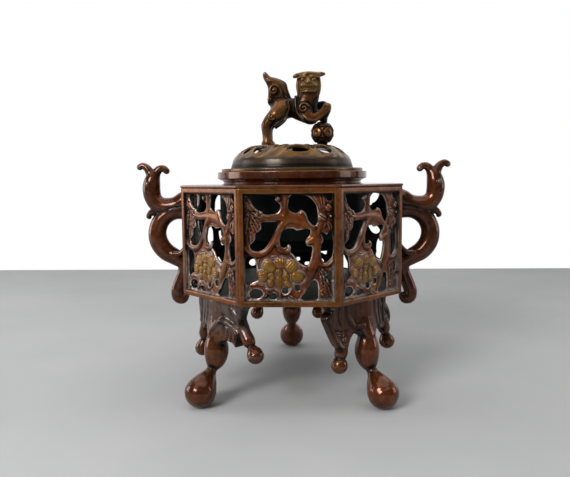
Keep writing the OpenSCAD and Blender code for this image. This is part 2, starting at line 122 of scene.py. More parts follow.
# Openings round the lid's crown: direction in degrees, length and width as shares of the usual ones
LID_OPENINGS = (
    (12, 0.7, 0.86), (50, 1.3, 0.9), (100, 0.8, 0.86), (128, 0.6, 0.86), (152, 0.9, 0.86), (176, 0.6, 0.86),
    (196, 0.7, 0.7), (214, 0.5, 0.7), (234, 0.65, 0.65), (279, 1, 0.55), (310, 0.8, 0.7), (342, 0.6, 0.7),
)

# How far a casting's hollows are looked for, straight out and aslant, in millimetres, to lay painted shade in
# them
NEAR_REACHES = (0.7, 1.6, 3.2)
WIDE_REACHES = (2.5, 6.0)
# How much painted shade each such look lays in a hollow, and how much painted shade an underside gets
NEAR_SHADE = 0.33
WIDE_SHADE = 0.06
UNDERSIDE_SHADE = 0.16
# Least gilding that belongs to a blossom and not to a border
BLOSSOM_GILT = 0.7
# How thick a pale film lies on most panels, on the two beside the front, and on a leg: dust with painted
# sheen on the panels, painted sheen on the leg
USUAL_DUST_AND_SHEEN = 0.1
PANEL_DUST_AND_SHEEN = {"panel_front_left": 0.04, "panel_front_right": 0.14}
LEG_SHEEN = {"leg_front_left": 0.25}
# Colours that all bronzes share: the near-black of painted shade, and the grey of dust and painted sheen
PAINTED_SHADE_BLACK = (0.004, 0.0025, 0.002)
DUST_AND_SHEEN_GREY = (0.3, 0.25, 0.225)
# Heights between which the inside turns from grey-green to near-black, in metres
INSIDE_DARK_LOW_Z = 0.054
INSIDE_DARK_FULL_Z = 0.075
# The spot that all lamps point at, in metres
LAMP_AIM = (0, 0, 0.09)


def ramp(x, low, high):
    """Runs from 0 to 1 as x goes from low to high, and stays there beyond them."""
    return np.clip((x - low) / (high - low), 0, 1)


def bell(x, width):
    """1 where x is 0, falling off to both sides within about the width."""
    return np.exp(-((x / width) ** 2))


def smooth_min(a, b, blend):
    """The lesser of two distances, rounded over where they come within `blend` of each other."""
    if blend <= 0:
        return np.minimum(a, b)
    h = np.clip(0.5 + 0.5 * (b - a) / blend, 0.0, 1.0)
    return b + (a - b) * h - blend * h * (1.0 - h)


def smooth_max(a, b, blend):
    """The greater of two distances, rounded in the same way."""
    return -smooth_min(-a, -b, blend)


def curve(points, steps=6):
    """A smooth run through points of any length, with `steps` pieces between neighbours."""
    p = np.array(points, dtype=float)
    last = len(p) - 1
    run = []
    for i in range(last):
        a, b, c, d = p[max(i - 1, 0)], p[i], p[i + 1], p[min(i + 2, last)]
        for t in np.arange(steps) / steps:
            run.append(0.5 * (2 * b + (c - a) * t + (2 * a - 5 * b + 4 * c - d) * t**2
                              + (3 * b - a - 3 * c + d) * t**3))
    run.append(p[last])
    return np.array(run)


def spiral(centre, radius, turns, thick, start, lift):
    """Beads of a curl seen from the front that winds in to its centre, lifted towards its middle."""
    count = int(14 * turns)
    beads = []
    for i in range(count + 1):
        t = i / count
        angle = start + 2 * math.pi * turns * t
        r = radius * (1 - 0.86 * t)
        spot = (centre[0] + r * math.cos(angle), centre[1] - lift * t, centre[2] + r * math.sin(angle))
        beads.append((*spot, thick * (1 - 0.25 * t)))
    return beads


def mirrored(beads, s):
    """Beads x, y, z, radius, set on side s of the middle plane."""
    return [(x, s * y, z, r) for x, y, z, r in beads]


def bead_gap(spots, a, b):
    """Distance from spots to the round limb between two beads x, y, z, radius."""
    axis = b[:3] - a[:3]
    away = [s - q for s, q in zip(spots, a[:3])]
    along = sum(o * d for o, d in zip(away, axis)) / max(axis @ axis, TINY)
    along = np.clip(along, 0.0, 1.0)
    gap = np.sqrt(sum((o - along * d) ** 2 for o, d in zip(away, axis)))
    return gap - a[3] - along * (b[3] - a[3])


class Field:
    """Signed distances on a grid of points, in millimetres; negative is inside the metal."""

    def __init__(self, low, high, step):
        self.low = np.array(low, dtype=float)
        self.step = step
        self.axes = [np.arange(a, b + step, step, dtype=np.float32) for a, b in zip(low, high)]
        self.value = np.full([len(a) for a in self.axes], FAR, dtype=np.float32)

    def points(self):
        """Coordinates of all points of the grid."""
        return np.meshgrid(*self.axes, indexing="ij", sparse=True)

    def window(self, low, high):
        """Slices of the grid that hold a box, and the coordinates of their points."""
        cuts = []
        for axis, a, b in zip(self.axes, low, high):
            first = min(max(int((a - axis[0]) / self.step), 0), len(axis) - 1)
            last = min(max(int((b - axis[0]) / self.step) + 2, first + 1), len(axis))
            cuts.append(slice(first, last))
        points = np.meshgrid(*[x[c] for x, c in zip(self.axes, cuts)], indexing="ij", sparse=True)
        return tuple(cuts), points

    def strand_distance(self, beads, blend):
        """Distance to a row of beads x, y, z, radius, inside the window that they reach."""
        beads = np.array(beads, dtype=float)
        reach = blend + 2 * self.step
        fat = beads[:, 3:4] + reach
        cuts, _ = self.window((beads[:, :3] - fat).min(axis=0), (beads[:, :3] + fat).max(axis=0))
        near = np.full(self.value[cuts].shape, FAR, dtype=np.float32)
        corner = [c.start for c in cuts]
        for a, b in zip(beads, beads[1:]):
            wide = max(a[3], b[3]) + reach
            part, spots = self.window(np.minimum(a, b)[:3] - wide, np.maximum(a, b)[:3] + wide)
            inner = tuple(slice(max(p.start - c, 0), max(p.stop - c, 0)) for p, c in zip(part, corner))
            room = near[inner]
            gap = bead_gap(spots, a, b)
            near[inner] = np.minimum(room, gap[tuple(slice(0, n) for n in room.shape)])
        return cuts, near

    def egg_distance(self, centre, radii, blend):
        """Distance to an ellipsoid, inside the window that it reaches."""
        centre = np.array(centre, dtype=float)
        radii = np.array(radii, dtype=float)
        reach = blend + 2 * self.step
        cuts, points = self.window(centre - radii - reach, centre + radii + reach)
        scaled = sum(((p - c) / r) ** 2 for p, c, r in zip(points, centre, radii))
        steep = sum(((p - c) / r**2) ** 2 for p, c, r in zip(points, centre, radii))
        size = np.sqrt(scaled)
        return cuts, size * (size - 1.0) / np.maximum(np.sqrt(steep), TINY)

    def add(self, cuts, near, blend):
        """Joins a shape to what is in a window."""
        self.value[cuts] = smooth_min(self.value[cuts], near, blend)

    def cut(self, cuts, near, blend):
        """Takes a shape away from what is in a window."""
        self.value[cuts] = smooth_max(self.value[cuts], -near, blend)

    def strand(self, beads, blend):
        """Adds a row of beads as one limb."""
        self.add(*self.strand_distance(beads, blend), blend)

    def groove(self, beads, blend):
        """Cuts a row of beads away."""
        self.cut(*self.strand_distance(beads, blend), blend)

    def limb(self, beads, blend):
        """Adds a limb along the smooth curve through a few beads."""
        self.strand(curve(beads), blend)

    def crease(self, beads, blend):
        """Cuts a groove along the smooth curve through a few beads."""
        self.groove(curve(beads), blend)

    def egg(self, centre, radii, blend):
        """Adds an ellipsoid."""
        self.add(*self.egg_distance(centre, radii, blend), blend)

    def dent(self, centre, radii, blend):
        """Cuts an ellipsoid away."""
        self.cut(*self.egg_distance(centre, radii, blend), blend)

    def stand_flat(self):
        """Cuts away what lies below z = 0."""
        below = -self.axes[2][None, None, :]
        self.value = smooth_max(self.value, below, 0.1)

    def sample(self, spots):
        """Distances at any spots, blended from the eight nearest grid points; they grow beyond the grid."""
        at = (spots - self.low) / self.step
        top = np.array(self.value.shape) - 2
        cell = np.clip(np.floor(at).astype(int), 0, top)
        part = np.clip(at - cell, 0.0, 1.0)
        total = self.step * np.linalg.norm(at - cell - part, axis=1)
        for corner in np.ndindex(2, 2, 2):
            weight = np.prod(np.where(corner, part, 1.0 - part), axis=1)
            i, j, k = (cell + corner).T
            total += weight * self.value[i, j, k]
        return total


def edge_slices(axis, a, b):
    """Slices over the four cells that share each grid edge along an axis."""
    cut = [slice(None)] * 3
    others = [n for n in range(3) if n != axis]
    for n, shift in zip(others, (a, b)):
        cut[n] = slice(shift, -1 if shift == 0 else None)
    return tuple(cut), others


def surface_cells(field):
    """One corner in each grid cell that the surface passes, the cells' numbers, and the edges it crosses."""
    v = field.value
    shape = np.array(v.shape) - 1
    total = np.zeros((*shape, 3), dtype=np.float32)
    count = np.zeros(shape, dtype=np.float32)
    crossings = []
    for axis in range(3):
        low = np.take(v, range(0, v.shape[axis] - 1), axis=axis)
        high = np.take(v, range(1, v.shape[axis]), axis=axis)
        cross = (low < 0) != (high < 0)
        where = np.where(cross, low / np.where(cross, low - high, 1.0), 0.0)
        crossings.append((cross, low < 0))
        for a, b in np.ndindex(2, 2):
            cut, others = edge_slices(axis, a, b)
            total[..., axis] += where[cut]
            total[..., others[0]] += a * cross[cut]
            total[..., others[1]] += b * cross[cut]
            count += cross[cut]
    active = count > 0
    number = np.full(shape, -1, dtype=np.int64)
    number[active] = np.arange(active.sum())
    corners = field.low + field.step * (np.argwhere(active) + total[active] / count[active][:, None])
    return corners, number, crossings


def axis_faces(number, axis, cross, rising):
    """Four-sided faces round the grid edges along one axis that the surface crosses."""
    first, second = (axis + 1) % 3, (axis + 2) % 3
    inner = [slice(None)] * 3
    inner[first] = inner[second] = slice(1, -1)
    spots = np.argwhere(cross[tuple(inner)])
    spots[:, first] += 1
    spots[:, second] += 1
    ring = []
    for a, b in ((1, 1), (0, 1), (0, 0), (1, 0)):
        cell = spots.copy()
        cell[:, first] -= a
        cell[:, second] -= b
        ring.append(number[tuple(cell.T)])
    quad = np.stack(ring, axis=1)
    outward = rising[tuple(spots.T)]
    return np.where(outward[:, None], quad, quad[:, ::-1])


def skin(field):
    """Corners and four-sided faces of the surface at which a field is zero."""
    corners, number, crossings = surface_cells(field)
    faces = [axis_faces(number, axis, *crossing) for axis, crossing in enumerate(crossings)]
    return corners, np.concatenate(faces)


def main_shell(corners, faces):
    """The largest connected part of a surface, without specks that the grid leaves beside it."""
    label = np.arange(len(corners))
    while True:
        low = label.copy()
        for k in range(4):
            a, b = faces[:, k], faces[:, (k + 1) % 4]
            np.minimum.at(low, a, label[b])
            np.minimum.at(low, b, label[a])
        low = low[low]
        if np.array_equal(low, label):
            break
        label = low
    kept = label == np.bincount(label[faces[:, 0]]).argmax()
    renamed = np.cumsum(kept) - 1
    return corners[kept], renamed[faces[kept[faces[:, 0]]]]


def neighbour_mean(values, faces):
    """Mean of the values on the corners next to each corner."""
    pairs = np.concatenate([faces[:, [k, (k + 1) % 4]] for k in range(4)])
    total = np.zeros_like(values)
    for a, b in ((0, 1), (1, 0)):
        np.add.at(total, pairs[:, a], values[pairs[:, b]])
    count = np.bincount(pairs.ravel(), minlength=len(values))
    return (total.T / count).T


def corner_normals(corners, faces):
    """The way that the surface faces at each corner."""
    a, b, c, d = (corners[faces[:, k]] for k in range(4))
    across = np.cross(c - a, d - b)
    total = np.zeros_like(corners)
    for k in range(4):
        np.add.at(total, faces[:, k], across)
    return total / np.maximum(np.linalg.norm(total, axis=1, keepdims=True), TINY)


def painted_shade_depth(field, corners, normals):
    """Painted shade at each corner, by how far it lies in a hollow or on an underside: 0 in the open, 1 deep
    in a groove; in the hollows it also stands for dark patina.
    """
    shade = UNDERSIDE_SHADE * np.clip(0.3 - normals[:, 2], 0.0, 1.0)
    for reach in NEAR_REACHES:
        clear = field.sample(corners + reach * normals) / reach
        shade += NEAR_SHADE * (1.0 - np.clip(clear, 0.0, 1.0))
    for lean in np.concatenate([np.eye(3), -np.eye(3)]):
        way = normals + 0.9 * lean
        way /= np.linalg.norm(way, axis=1)[:, None] + TINY
        for reach in WIDE_REACHES:
            flat = reach * np.clip(np.sum(way * normals, axis=1), 0.25, 1.0)
            clear = field.sample(corners + reach * way) / flat
            shade += WIDE_SHADE * (1.0 - np.clip(clear, 0.0, 1.0))
    return shade


def ridge(corners, faces, normals):
    """How far each corner stands out from its neighbours: above 0 on an edge, below 0 in a crease."""
    bend = -np.sum((neighbour_mean(corners, faces) - corners) * normals, axis=1)
    for _ in range(2):
        bend = 0.5 * bend + 0.5 * neighbour_mean(bend, faces)
    return bend


def no_layer(corners):
    """The rule of a layer that a casting lacks."""
    return np.zeros(len(corners))


def keep_layer(mesh, layer, values):
    """Keeps a value on each of a mesh's corners."""
    data = mesh.attributes.new(layer, "FLOAT", "POINT").data
    data.foreach_set("value", np.array(values, dtype=np.float32))


def shade_smooth(mesh):
    """Shades a mesh so that its faces don't show."""
    mesh.polygons.foreach_set("use_smooth", [True] * len(mesh.polygons))


def add_object(name, data):
    """Puts a new object in the scene."""
    thing = bpy.data.objects.new(name, data)
    bpy.context.collection.objects.link(thing)
    return thing


def cast(name, field, gilt=no_layer, pale_edge_extra=no_layer, darkening=no_layer, dust=no_layer):
    """Makes the mesh of a field; painted shade in its hollows and on its undersides, pale edges of wear and
    painted highlight, gold, and dust with painted sheen are kept on its corners.
    """
    corners, faces = main_shell(*skin(field))
    # Half a step towards their neighbours' mean evens out the marks of the grid
    corners = corners + 0.5 * (neighbour_mean(corners, faces) - corners)
    normals = corner_normals(corners, faces)
    mesh = bpy.data.meshes.new(name)
    mesh.from_pydata((corners * MM).tolist(), [], faces.tolist())
    # The hollow layer holds painted shade, the edge layer pale wear and painted highlights, the dust layer
    # dust and painted sheen
    layers = {
        "hollow": painted_shade_depth(field, corners, normals) + darkening(corners),
        "edge": ridge(corners, faces, normals) / field.step + pale_edge_extra(corners),
        "gilt": gilt(corners),
        "dust": dust(corners),
    }
    for layer, values in layers.items():
        keep_layer(mesh, layer, values)
    shade_smooth(mesh)
    mesh.update()
    return mesh


def place(name, mesh, body, node, material, turn=0.0):
    """Puts a copy of a mesh in the scene in place of a solid, turned about the body's axis."""
    mesh = mesh.copy()
    mesh.transform(Matrix.Translation((0, AXIS_Y, 0)) @ Matrix.Rotation(math.radians(turn), 4, "Z"))
    mesh.materials.append(material)
    piece = add_object(name, mesh)
    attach(piece, body)
    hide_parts(node)
    return piece


def segment_gap(u, v, a, b):
    """Distance from the spots u, v to the line between two points, and how far along it they are."""
    du, dv = b[0] - a[0], b[1] - a[1]
    along = ((u - a[0]) * du + (v - a[1]) * dv) / max(du * du + dv * dv, TINY)
    along = np.clip(along, 0.0, 1.0)
    return np.hypot(u - a[0] - along * du, v - a[1] - along * dv), along


def outline_distance(u, v, points, steps=5):
    """Signed distance to the smooth closed curve through points u, v; negative is inside it."""
    run = curve([points[-1], *points, points[0], points[1]], steps)[steps:-steps]
    near = np.full(np.broadcast_shapes(u.shape, v.shape), np.inf)
    inside = np.zeros(near.shape, dtype=bool)
    for a, b in zip(run, run[1:]):
        gap, _ = segment_gap(u, v, a, b)
        near = np.minimum(near, gap)
        if b[1] != a[1]:
            crossing = a[0] + (b[0] - a[0]) * (v - a[1]) / (b[1] - a[1])
            inside ^= ((a[1] > v) != (b[1] > v)) & (u < crossing)
    return np.where(inside, -1.0, 1.0) * near


def line_distance(u, v, points):
    """Distance to a run of points u, v, width, less half the width there."""
    near = np.full(np.broadcast_shapes(u.shape, v.shape), np.inf)
    for a, b in zip(points, points[1:]):
        gap, along = segment_gap(u, v, a, b)
        near = np.minimum(near, gap - 0.5 * (a[2] + along * (b[2] - a[2])))
    return near


class Relief:
    """A drawing over a panel's opening: its holes, and the height of the metal between them."""

    def __init__(self, step):
        margin = 2
        self.u = np.arange(-OPEN_W / 2 - margin, OPEN_W / 2 + margin + step, step)[:, None]
        self.v = np.arange(-margin, OPEN_H + margin + step, step)[None, :]
        shape = (self.u.shape[0], self.v.shape[1])
        self.step = step
        self.clear = np.full(shape, FAR)
        self.height = np.zeros(shape)
        self.gilt = np.zeros(shape)
        self.dust = np.zeros(shape)

    def cells(self, u, v):
        """Indexes of the drawing's points nearest to the spots u, v."""
        i = np.clip((u - self.u[0, 0]) / self.step, 0, self.u.shape[0] - 1)
        j = np.clip((v - self.v[0, 0]) / self.step, 0, self.v.shape[1] - 1)
        return i.round().astype(int), j.round().astype(int)

    def hole(self, points):
        """Opens a hole with the outline given."""
        self.clear = np.minimum(self.clear, outline_distance(self.u, self.v, points))

    def lay(self, near, rise, rounding, base=0.0, gilt=0.0):
        """Lays a domed shape on the ground."""
        depth = np.clip(1.0 + near / rounding, 0.0, 1.0)
        dome = base + rise * np.sqrt(1.0 - depth**2)
        covers = (near < 0.1) & (dome > self.height - 0.05)
        self.gilt = np.where(covers, gilt, self.gilt)
        self.height = smooth_max(self.height, np.where(near < 0.3, dome, 0.0), 0.1)

    def score(self, points, depth, width):
        """Engraves a line."""
        near = line_distance(self.u, self.v, [(*p, 0.0) for p in points])
        self.height = self.height - depth * bell(near, width)

    def stem(self, points, rise=0.95):
        """A round stem through points u, v, width."""
        run = curve(points, 5)
        self.lay(line_distance(self.u, self.v, run), rise, 0.5 * run[:, 2].max())

    def leaf(self, root, tip, width, bend, rise, veins):
        """A leaf from its root to its tip, bowed sideways by `bend`, with a midrib and pairs of veins."""
        root, tip = np.array(root, float), np.array(tip, float)
        across = np.array([-(tip - root)[1], (tip - root)[0]])
        run = []
        for t, share in ((0.0, 0.25), (0.25, 0.72), (0.55, 1.0), (0.82, 0.8), (1.0, 0.16)):
            spot = root + t * (tip - root) + bend * 4 * t * (1 - t) * across
            run.append((*spot, share * width))
        run = curve(run, 4)
        self.lay(line_distance(self.u, self.v, run), rise, 0.5 * width)
        self.score([p[:2] for p in run[1:-2]], depth=0.35, width=0.28)
        for k in range(veins):
            spot = run[int((0.2 + 0.5 * k / max(veins - 1, 1)) * (len(run) - 1))][:2]
            for s in (-0.3, 0.3):
                self.score([spot, spot + 0.2 * (tip - root) + s * across], depth=0.25, width=0.2)

    def petal(self, at, radii, turn):
        """A rounded gilt petal that points in the direction `turn`, with lines cut along it."""
        a = math.radians(turn)
        way = np.array((math.cos(a), math.sin(a)))
        out = (self.u - at[0]) * way[0] + (self.v - at[1]) * way[1]
        off = (self.v - at[1]) * way[0] - (self.u - at[0]) * way[1]
        near = (np.hypot(out / radii[0], off / radii[1]) - 1.0) * min(radii)
        self.lay(near, rise=0.8, rounding=0.8 * min(radii), base=0.5, gilt=1.0)
        self.dust = np.maximum(self.dust, 0.9 * bell(near - 0.4, 0.6))
        for share in (-0.6, -0.2, 0.2, 0.6):
            start = np.array(at) + share * radii[1] * np.array((-way[1], way[0]))
            self.score([start - 0.3 * radii[0] * way, start + 0.8 * radii[0] * way], depth=0.28, width=0.2)

    def bud(self, at, radius):
        """A round bud."""
        self.lay(np.hypot(self.u - at[0], self.v - at[1]) - radius, rise=1.1, rounding=radius, base=0.1)


def pierce(art):
    """The openings between the stems and leaves."""
    art.hole([(-16.4, 46.9), (-11, 47.2), (-6.2, 46.8), (-6, 44.8), (-3.8, 42.8), (-4.2, 40.6), (-6.2, 39),
              (-10.6, 38.8), (-11.8, 40), (-13.8, 40.8), (-16, 43.4)])
    art.hole([(1, 46.8), (4.8, 47.2), (9, 46), (11.8, 42.8), (12.5, 39.6), (12.6, 35.4), (11.2, 33.8),
              (9, 35.8), (7.6, 39.2), (5.6, 40.6), (3.4, 39.4), (1.2, 40), (-0.1, 41.6), (0.2, 44.4)])
    art.hole([(-11.6, 34.9), (-6, 35.1), (-4.9, 34.4), (-5.8, 32), (-8, 27.8), (-10.6, 24), (-13.2, 22.6),
              (-16, 22.9), (-17.2, 24.8), (-15, 27.2), (-14.6, 30), (-12.5, 31.5), (-12, 33.6)])
    art.hole([(-2.2, 31.6), (1.8, 32.3), (3.6, 31.4), (8.6, 32), (9.2, 30), (7.3, 27), (8, 24.5), (10.2, 24),
              (9.8, 20.3), (8.8, 16.9), (7.6, 15.8), (4.4, 17.4), (2.2, 20.6), (0.8, 22), (1, 24.2),
              (-0.2, 25.6), (-1.4, 24.2), (-3, 24.2), (-3.8, 26.4), (-3.4, 29)])
    art.hole([(14.6, 30.4), (16.8, 29.4), (18.6, 31), (19.3, 27), (19.2, 21.4), (17.8, 18.6), (15.4, 17.4),
              (14.2, 20.4), (14.4, 24.8), (15.4, 27)])
    art.hole([(-19.2, 19.4), (-16, 19.6), (-14.8, 16.4), (-14.6, 12.8), (-13.9, 10), (-16.6, 8.4),
              (-19.2, 7.6), (-19.4, 13)])
    art.hole([(-17.6, 3.4), (-15.6, 5.2), (-12.6, 4.4), (-12.2, 2.6), (-14.4, 1.2), (-16.8, 1.4)])
    art.hole([(10.8, 9), (12.4, 7.8), (12.6, 2), (11.4, 0.4), (5.8, 0.6), (7.2, 3.6), (9, 6.6)])
    art.hole([(2.8, 6.8), (4.6, 6.8), (4.4, 5), (3, 4.8)])
    art.hole([(16.8, 47), (18.8, 47), (19, 45.2), (17.2, 45)])
    art.hole([(17.2, 12.8), (18.9, 12.6), (18.9, 9.4), (17.4, 9.8)])
    art.hole([(-8.8, 2.6), (-6.2, 2.6), (-6, 1), (-8.6, 0.9)])
    art.hole([(-2.6, 5.6), (-0.8, 5.4), (-1, 3.6), (-2.7, 3.8)])


def draw_stems(art):
    """The arching main stem and its branches."""
    art.stem([(5.2, -1, 3), (7.6, 7.6, 3.3), (9.8, 12.6, 3.8), (11.8, 16.6, 3.8), (12.4, 20.4, 3.4),
              (12.6, 24, 3.4), (12.2, 28, 3.8), (10.2, 32.2, 3.8), (7.2, 35, 4.6), (4, 36.4, 4.8),
              (-1.2, 37, 4.4)])
    art.stem([(-1.4, 35.6, 4.2), (-1.6, 41, 2.8), (-1.6, 45.4, 3), (-1.6, 48.6, 5)])
    art.stem([(-0.6, 36.8, 3.8), (-4, 37, 3.4), (-7.6, 36.6, 3.3), (-11.2, 37, 3.4), (-14, 38.4, 3)])
    art.stem([(-0.8, 36, 3.6), (-3.4, 33.4, 3.2), (-5.2, 29.4, 2.8), (-7, 25.8, 2.8), (-9.8, 22.4, 3),
              (-13.2, 20.9, 3.2), (-16.2, 21.2, 3.2), (-18.2, 22.4, 2.8), (-20.6, 24, 3)])
    art.stem([(-2.6, 34, 2.4), (-4.4, 29.4, 2.1), (-5, 26, 2.2), (-4.2, 23, 2.3), (-1.6, 22, 2.4),
              (0, 23.4, 2), (-0.4, 24.8, 1.2)])
    art.stem([(12.2, 17.2, 3), (15.4, 16.2, 2.4), (18, 16.6, 2.2), (20.6, 19.4, 2.4)])
    art.stem([(12.6, 29.6, 2.2), (13.8, 33, 2), (14.6, 36, 1.8)], 0.7)
    art.stem([(-4.2, 7, 2.6), (-4.2, 3, 2.2), (-4.2, -1, 3)], 0.6)
    art.stem([(6.6, 36, 5), (5.8, 39, 3.6)], 1.0)
    art.stem([(11.6, 27.4, 4), (8.6, 26.4, 2.6)], 0.9)
    art.stem([(13.4, 28, 2), (14.8, 24.6, 1.4), (14, 20.6, 1.6)], 0.4)


def draw_leaves(art):
    """Leaves down the left, a fan at the top right, leaves at the right and along the foot, and sepals."""
    left = [((-13.6, 38.6), (-18.8, 47.4), 4.4, 0.1), ((-13, 38.4), (-16.6, 44.6), 3.4, -0.12),
            ((-13.6, 38), (-10.6, 40), 3, -0.1), ((-16, 38), (-12.6, 31.8), 4, 0.1),
            ((-16.8, 35.4), (-14.6, 29), 3.8, 0.08), ((-17.4, 33), (-16.6, 25), 3.6, 0.1),
            ((-17.4, 39.6), (-19.4, 29.4), 3.4, -0.06), ((-18.6, 46), (-19.2, 39.6), 2.6, 0.06)]
    fan = [((10, 48.4), (13.6, 42.6), 3, 0.12), ((12, 48.6), (14.2, 40.8), 3.2, 0.08),
           ((14.2, 48.6), (15.4, 41.6), 3, 0.0), ((16, 48), (17.2, 43.8), 2.4, -0.1),
           ((17, 35.4), (18.6, 31.6), 3, 0.1), ((16.6, 35.6), (15, 32), 2.4, -0.1)]
    right = [((13.4, 15.4), (16.8, 11.6), 3.6, -0.1), ((13.6, 13.4), (15.2, 6), 3.6, 0.06),
             ((19.6, 0.2), (16.4, 7.6), 3.6, 0.08), ((16.8, -0.6), (14, 4.6), 3.2, -0.1),
             ((19.8, 8.4), (18.8, 15), 2.6, 0.1), ((18.8, 6), (15.8, 10.4), 3, 0.1)]
    foot = [((-9.8, 6.2), (-17.6, 7.2), 3.4, -0.2), ((-17.8, 7), (-19, 1.4), 2.6, 0.14),
            ((-5, 3), (-10.8, 5.2), 3.6, 0.1), ((-18.6, 0.2), (-10.6, 0.4), 1.8, 0.06),
            ((-3.4, 2.6), (0.8, 6.2), 3, -0.1), ((5, -0.4), (-0.4, 2.4), 3.2, 0.1),
            ((-10.6, 5), (-11.6, 1.4), 2.2, 0.1)]
    sepals = [((-4, 20.6), (-8.6, 19.8), 2, 0.1), ((-1.6, 20.6), (2.2, 18.4), 2, -0.1),
              ((-13.4, 16.6), (-12.4, 19), 2.2, 0.1), ((5.4, 15.4), (8.2, 13.6), 2.2, 0.1)]
    groups = ((left, 0.85, 2), (fan, 0.7, 0), (right, 0.75, 2), (foot, 0.75, 0), (sepals, 0.5, 0))
    for leaves, rise, veins in groups:
        for root, tip, width, bend in leaves:
            art.leaf(root, tip, width, bend, rise, veins)


def draw_buds(art):
    """Round buds, the two large ones with a line across."""
    for at, radius in (((14.9, 37.4), 2.3), ((17.8, 41.4), 2.1), ((18.6, 37.8), 1.0), ((-4.6, 45.8), 1.5),
                       ((1, 46.6), 1.2)):
        art.bud(at, radius)
    for line in ([(13.4, 38.4), (16.4, 36.6)], [(16.4, 42.6), (19.2, 40.6)]):
        art.score(line, depth=0.35, width=0.25)


def draw_blossom(art):
    """A gilt peony: five round petals in a fan, and smaller ones that hang below its heart."""
    for at, radii, turn in (
            ((-12, 11.2), (2.9, 2.6), 190), ((-8.7, 15.4), (3.1, 2.8), 135), ((-3.8, 16.8), (2.6, 2.7), 90),
            ((0.9, 15.4), (3.1, 2.8), 50), ((3.6, 10.9), (2.9, 2.7), -5), ((-4.4, 13), (1.9, 1.7), 90),
            ((-7.7, 11.2), (2.1, 1.6), 90), ((-8.3, 7.9), (1.9, 1.7), 230), ((-4.5, 8.7), (3.3, 1.9), 270),
            ((-1.3, 11), (2.1, 1.6), 90), ((-0.8, 7.7), (1.9, 1.7), 310)):
        art.petal(at, radii, turn)


def panel_drawing():
    """The whole drawing of a panel, rolled over at its holes, with crumbs of dust along the lower border."""
    art = Relief(DRAWING_STEP)
    pierce(art)
    draw_stems(art)
    draw_leaves(art)
    draw_buds(art)
    draw_blossom(art)
    rolled = np.sqrt(1.0 - np.clip(1.0 - art.clear / 1.3, 0.0, 1.0) ** 2)
    art.height = 0.45 + 0.55 * rolled + art.height * (0.35 + 0.65 * rolled)
    inward = np.minimum(OPEN_W / 2 - np.abs(art.u), np.minimum(art.v, OPEN_H - art.v))
    crumbs = 0.8 * ramp(art.v, 20, 12) * bell(inward - 0.4, 0.7)
    art.dust = np.where(art.gilt > 0.5, 0.0, np.maximum(art.dust, crumbs))
    return art


def border_field(x, out, z):
    """Distance to a panel's plain border, with `out` the distance from the body's axis."""
    wide, high = np.abs(x) - OPEN_W / 2, np.abs(z - PANEL_MID_Z) - OPEN_H / 2
    opening = np.minimum(np.maximum(wide, high), 0) + np.hypot(np.maximum(wide, 0), np.maximum(high, 0))
    lean = math.cos(2 * HALF_TURN) * out + math.sin(2 * HALF_TURN) * np.abs(x)
    outer = smooth_max(out - APOTHEM, lean - APOTHEM, 0.9)
    slab = smooth_max(outer, APOTHEM - PANEL_T - out, 0.3)
    slab = smooth_max(slab, np.abs(z - PANEL_MID_Z) - PANEL_H / 2, 0.5)
    return smooth_max(slab, -opening, 0.7)


def openwork_field(field, art, out, z):
    """Distance to the pierced relief inside a panel's border."""
    pick = np.ix_(*art.cells(field.axes[0], field.axes[2] - OPEN_Z))
    rise_u, rise_v = np.gradient(art.height, art.step)
    slope = np.sqrt(1 + np.minimum(rise_u**2 + rise_v**2, 16.0))
    height, slope, outline = (sheet[pick][:, None, :] for sheet in (art.height, slope, -art.clear))
    openwork = np.maximum((out - OPENWORK_BACK - height) / slope, OPENWORK_BACK - out)
    openwork = smooth_max(openwork, outline, 0.25)
    return np.maximum(openwork, np.abs(z - PANEL_MID_Z) - OPEN_H / 2 - 1)


def strip_field(x, out, z):
    """Distance to the solid strip that a handle stands on."""
    slab = np.maximum(out - APOTHEM + 0.05, APOTHEM - PANEL_T - out)
    slab = np.maximum(np.abs(x) - STRIP_W / 2, slab)
    return np.maximum(slab, np.abs(z - PANEL_MID_Z) - OPEN_H / 2 - 1)


def from_opening(corners):
    """How far a panel's corners lie outside its opening."""
    wide = np.abs(corners[:, 0]) - OPEN_W / 2
    high = np.abs(corners[:, 2] - PANEL_MID_Z) - OPEN_H / 2
    return np.maximum(wide, high)


def on_border(corners):
    """Whether a panel's corners lie on its border."""
    return from_opening(corners) > 0.1


def in_front(corners):
    """1 on a panel's outer side, 0 on its back and in its holes."""
    return ramp(-corners[:, 1] - OPENWORK_BACK, 0.3, 0.7)


class PanelColours:
    """Where gold with painted highlights, pale rims, dust and painted shade lie on a panel, by its drawing
    and each corner's place.
    """

    def __init__(self, art):
        self.art = art

    def drawn(self, sheet, corners):
        """What a sheet of the drawing says at the corners."""
        return sheet[self.art.cells(corners[:, 0], corners[:, 2] - OPEN_Z)]

    def gold_and_highlight(self, corners):
        """Gold on the blossom, and a little on the border with two brighter lines along it, painted
        highlights on its edges.
        """
        lines = 0.1 + 0.5 * bell(np.abs(from_opening(corners) - BORDER_W / 2) - 1.0, 0.35)
        return np.where(on_border(corners), lines, self.drawn(self.art.gilt, corners)) * in_front(corners)

    def pale_rims(self, corners):
        """Pale edges round the holes, most of all low down: wear with painted highlights; fewer on the
        border.
        """
        rim = 0.16 * bell(self.drawn(self.art.clear, corners) - 0.35, 0.35)
        rim *= 1.0 - 0.4 * ramp(corners[:, 2] - OPEN_Z, 16, 28)
        return np.where(on_border(corners), -0.08, rim) * in_front(corners)

    def dusting(self, corners):
        """Dust where the drawing has it."""
        return np.where(on_border(corners), 0.0, self.drawn(self.art.dust, corners)) * in_front(corners)

    def painted_shade_behind(self, corners):
        """Painted shade on the back, which faces the inside of the body, and in the holes; less on the front
        and where dust lies.
        """
        return 0.32 - 0.45 * in_front(corners) - 0.25 * self.dusting(corners)


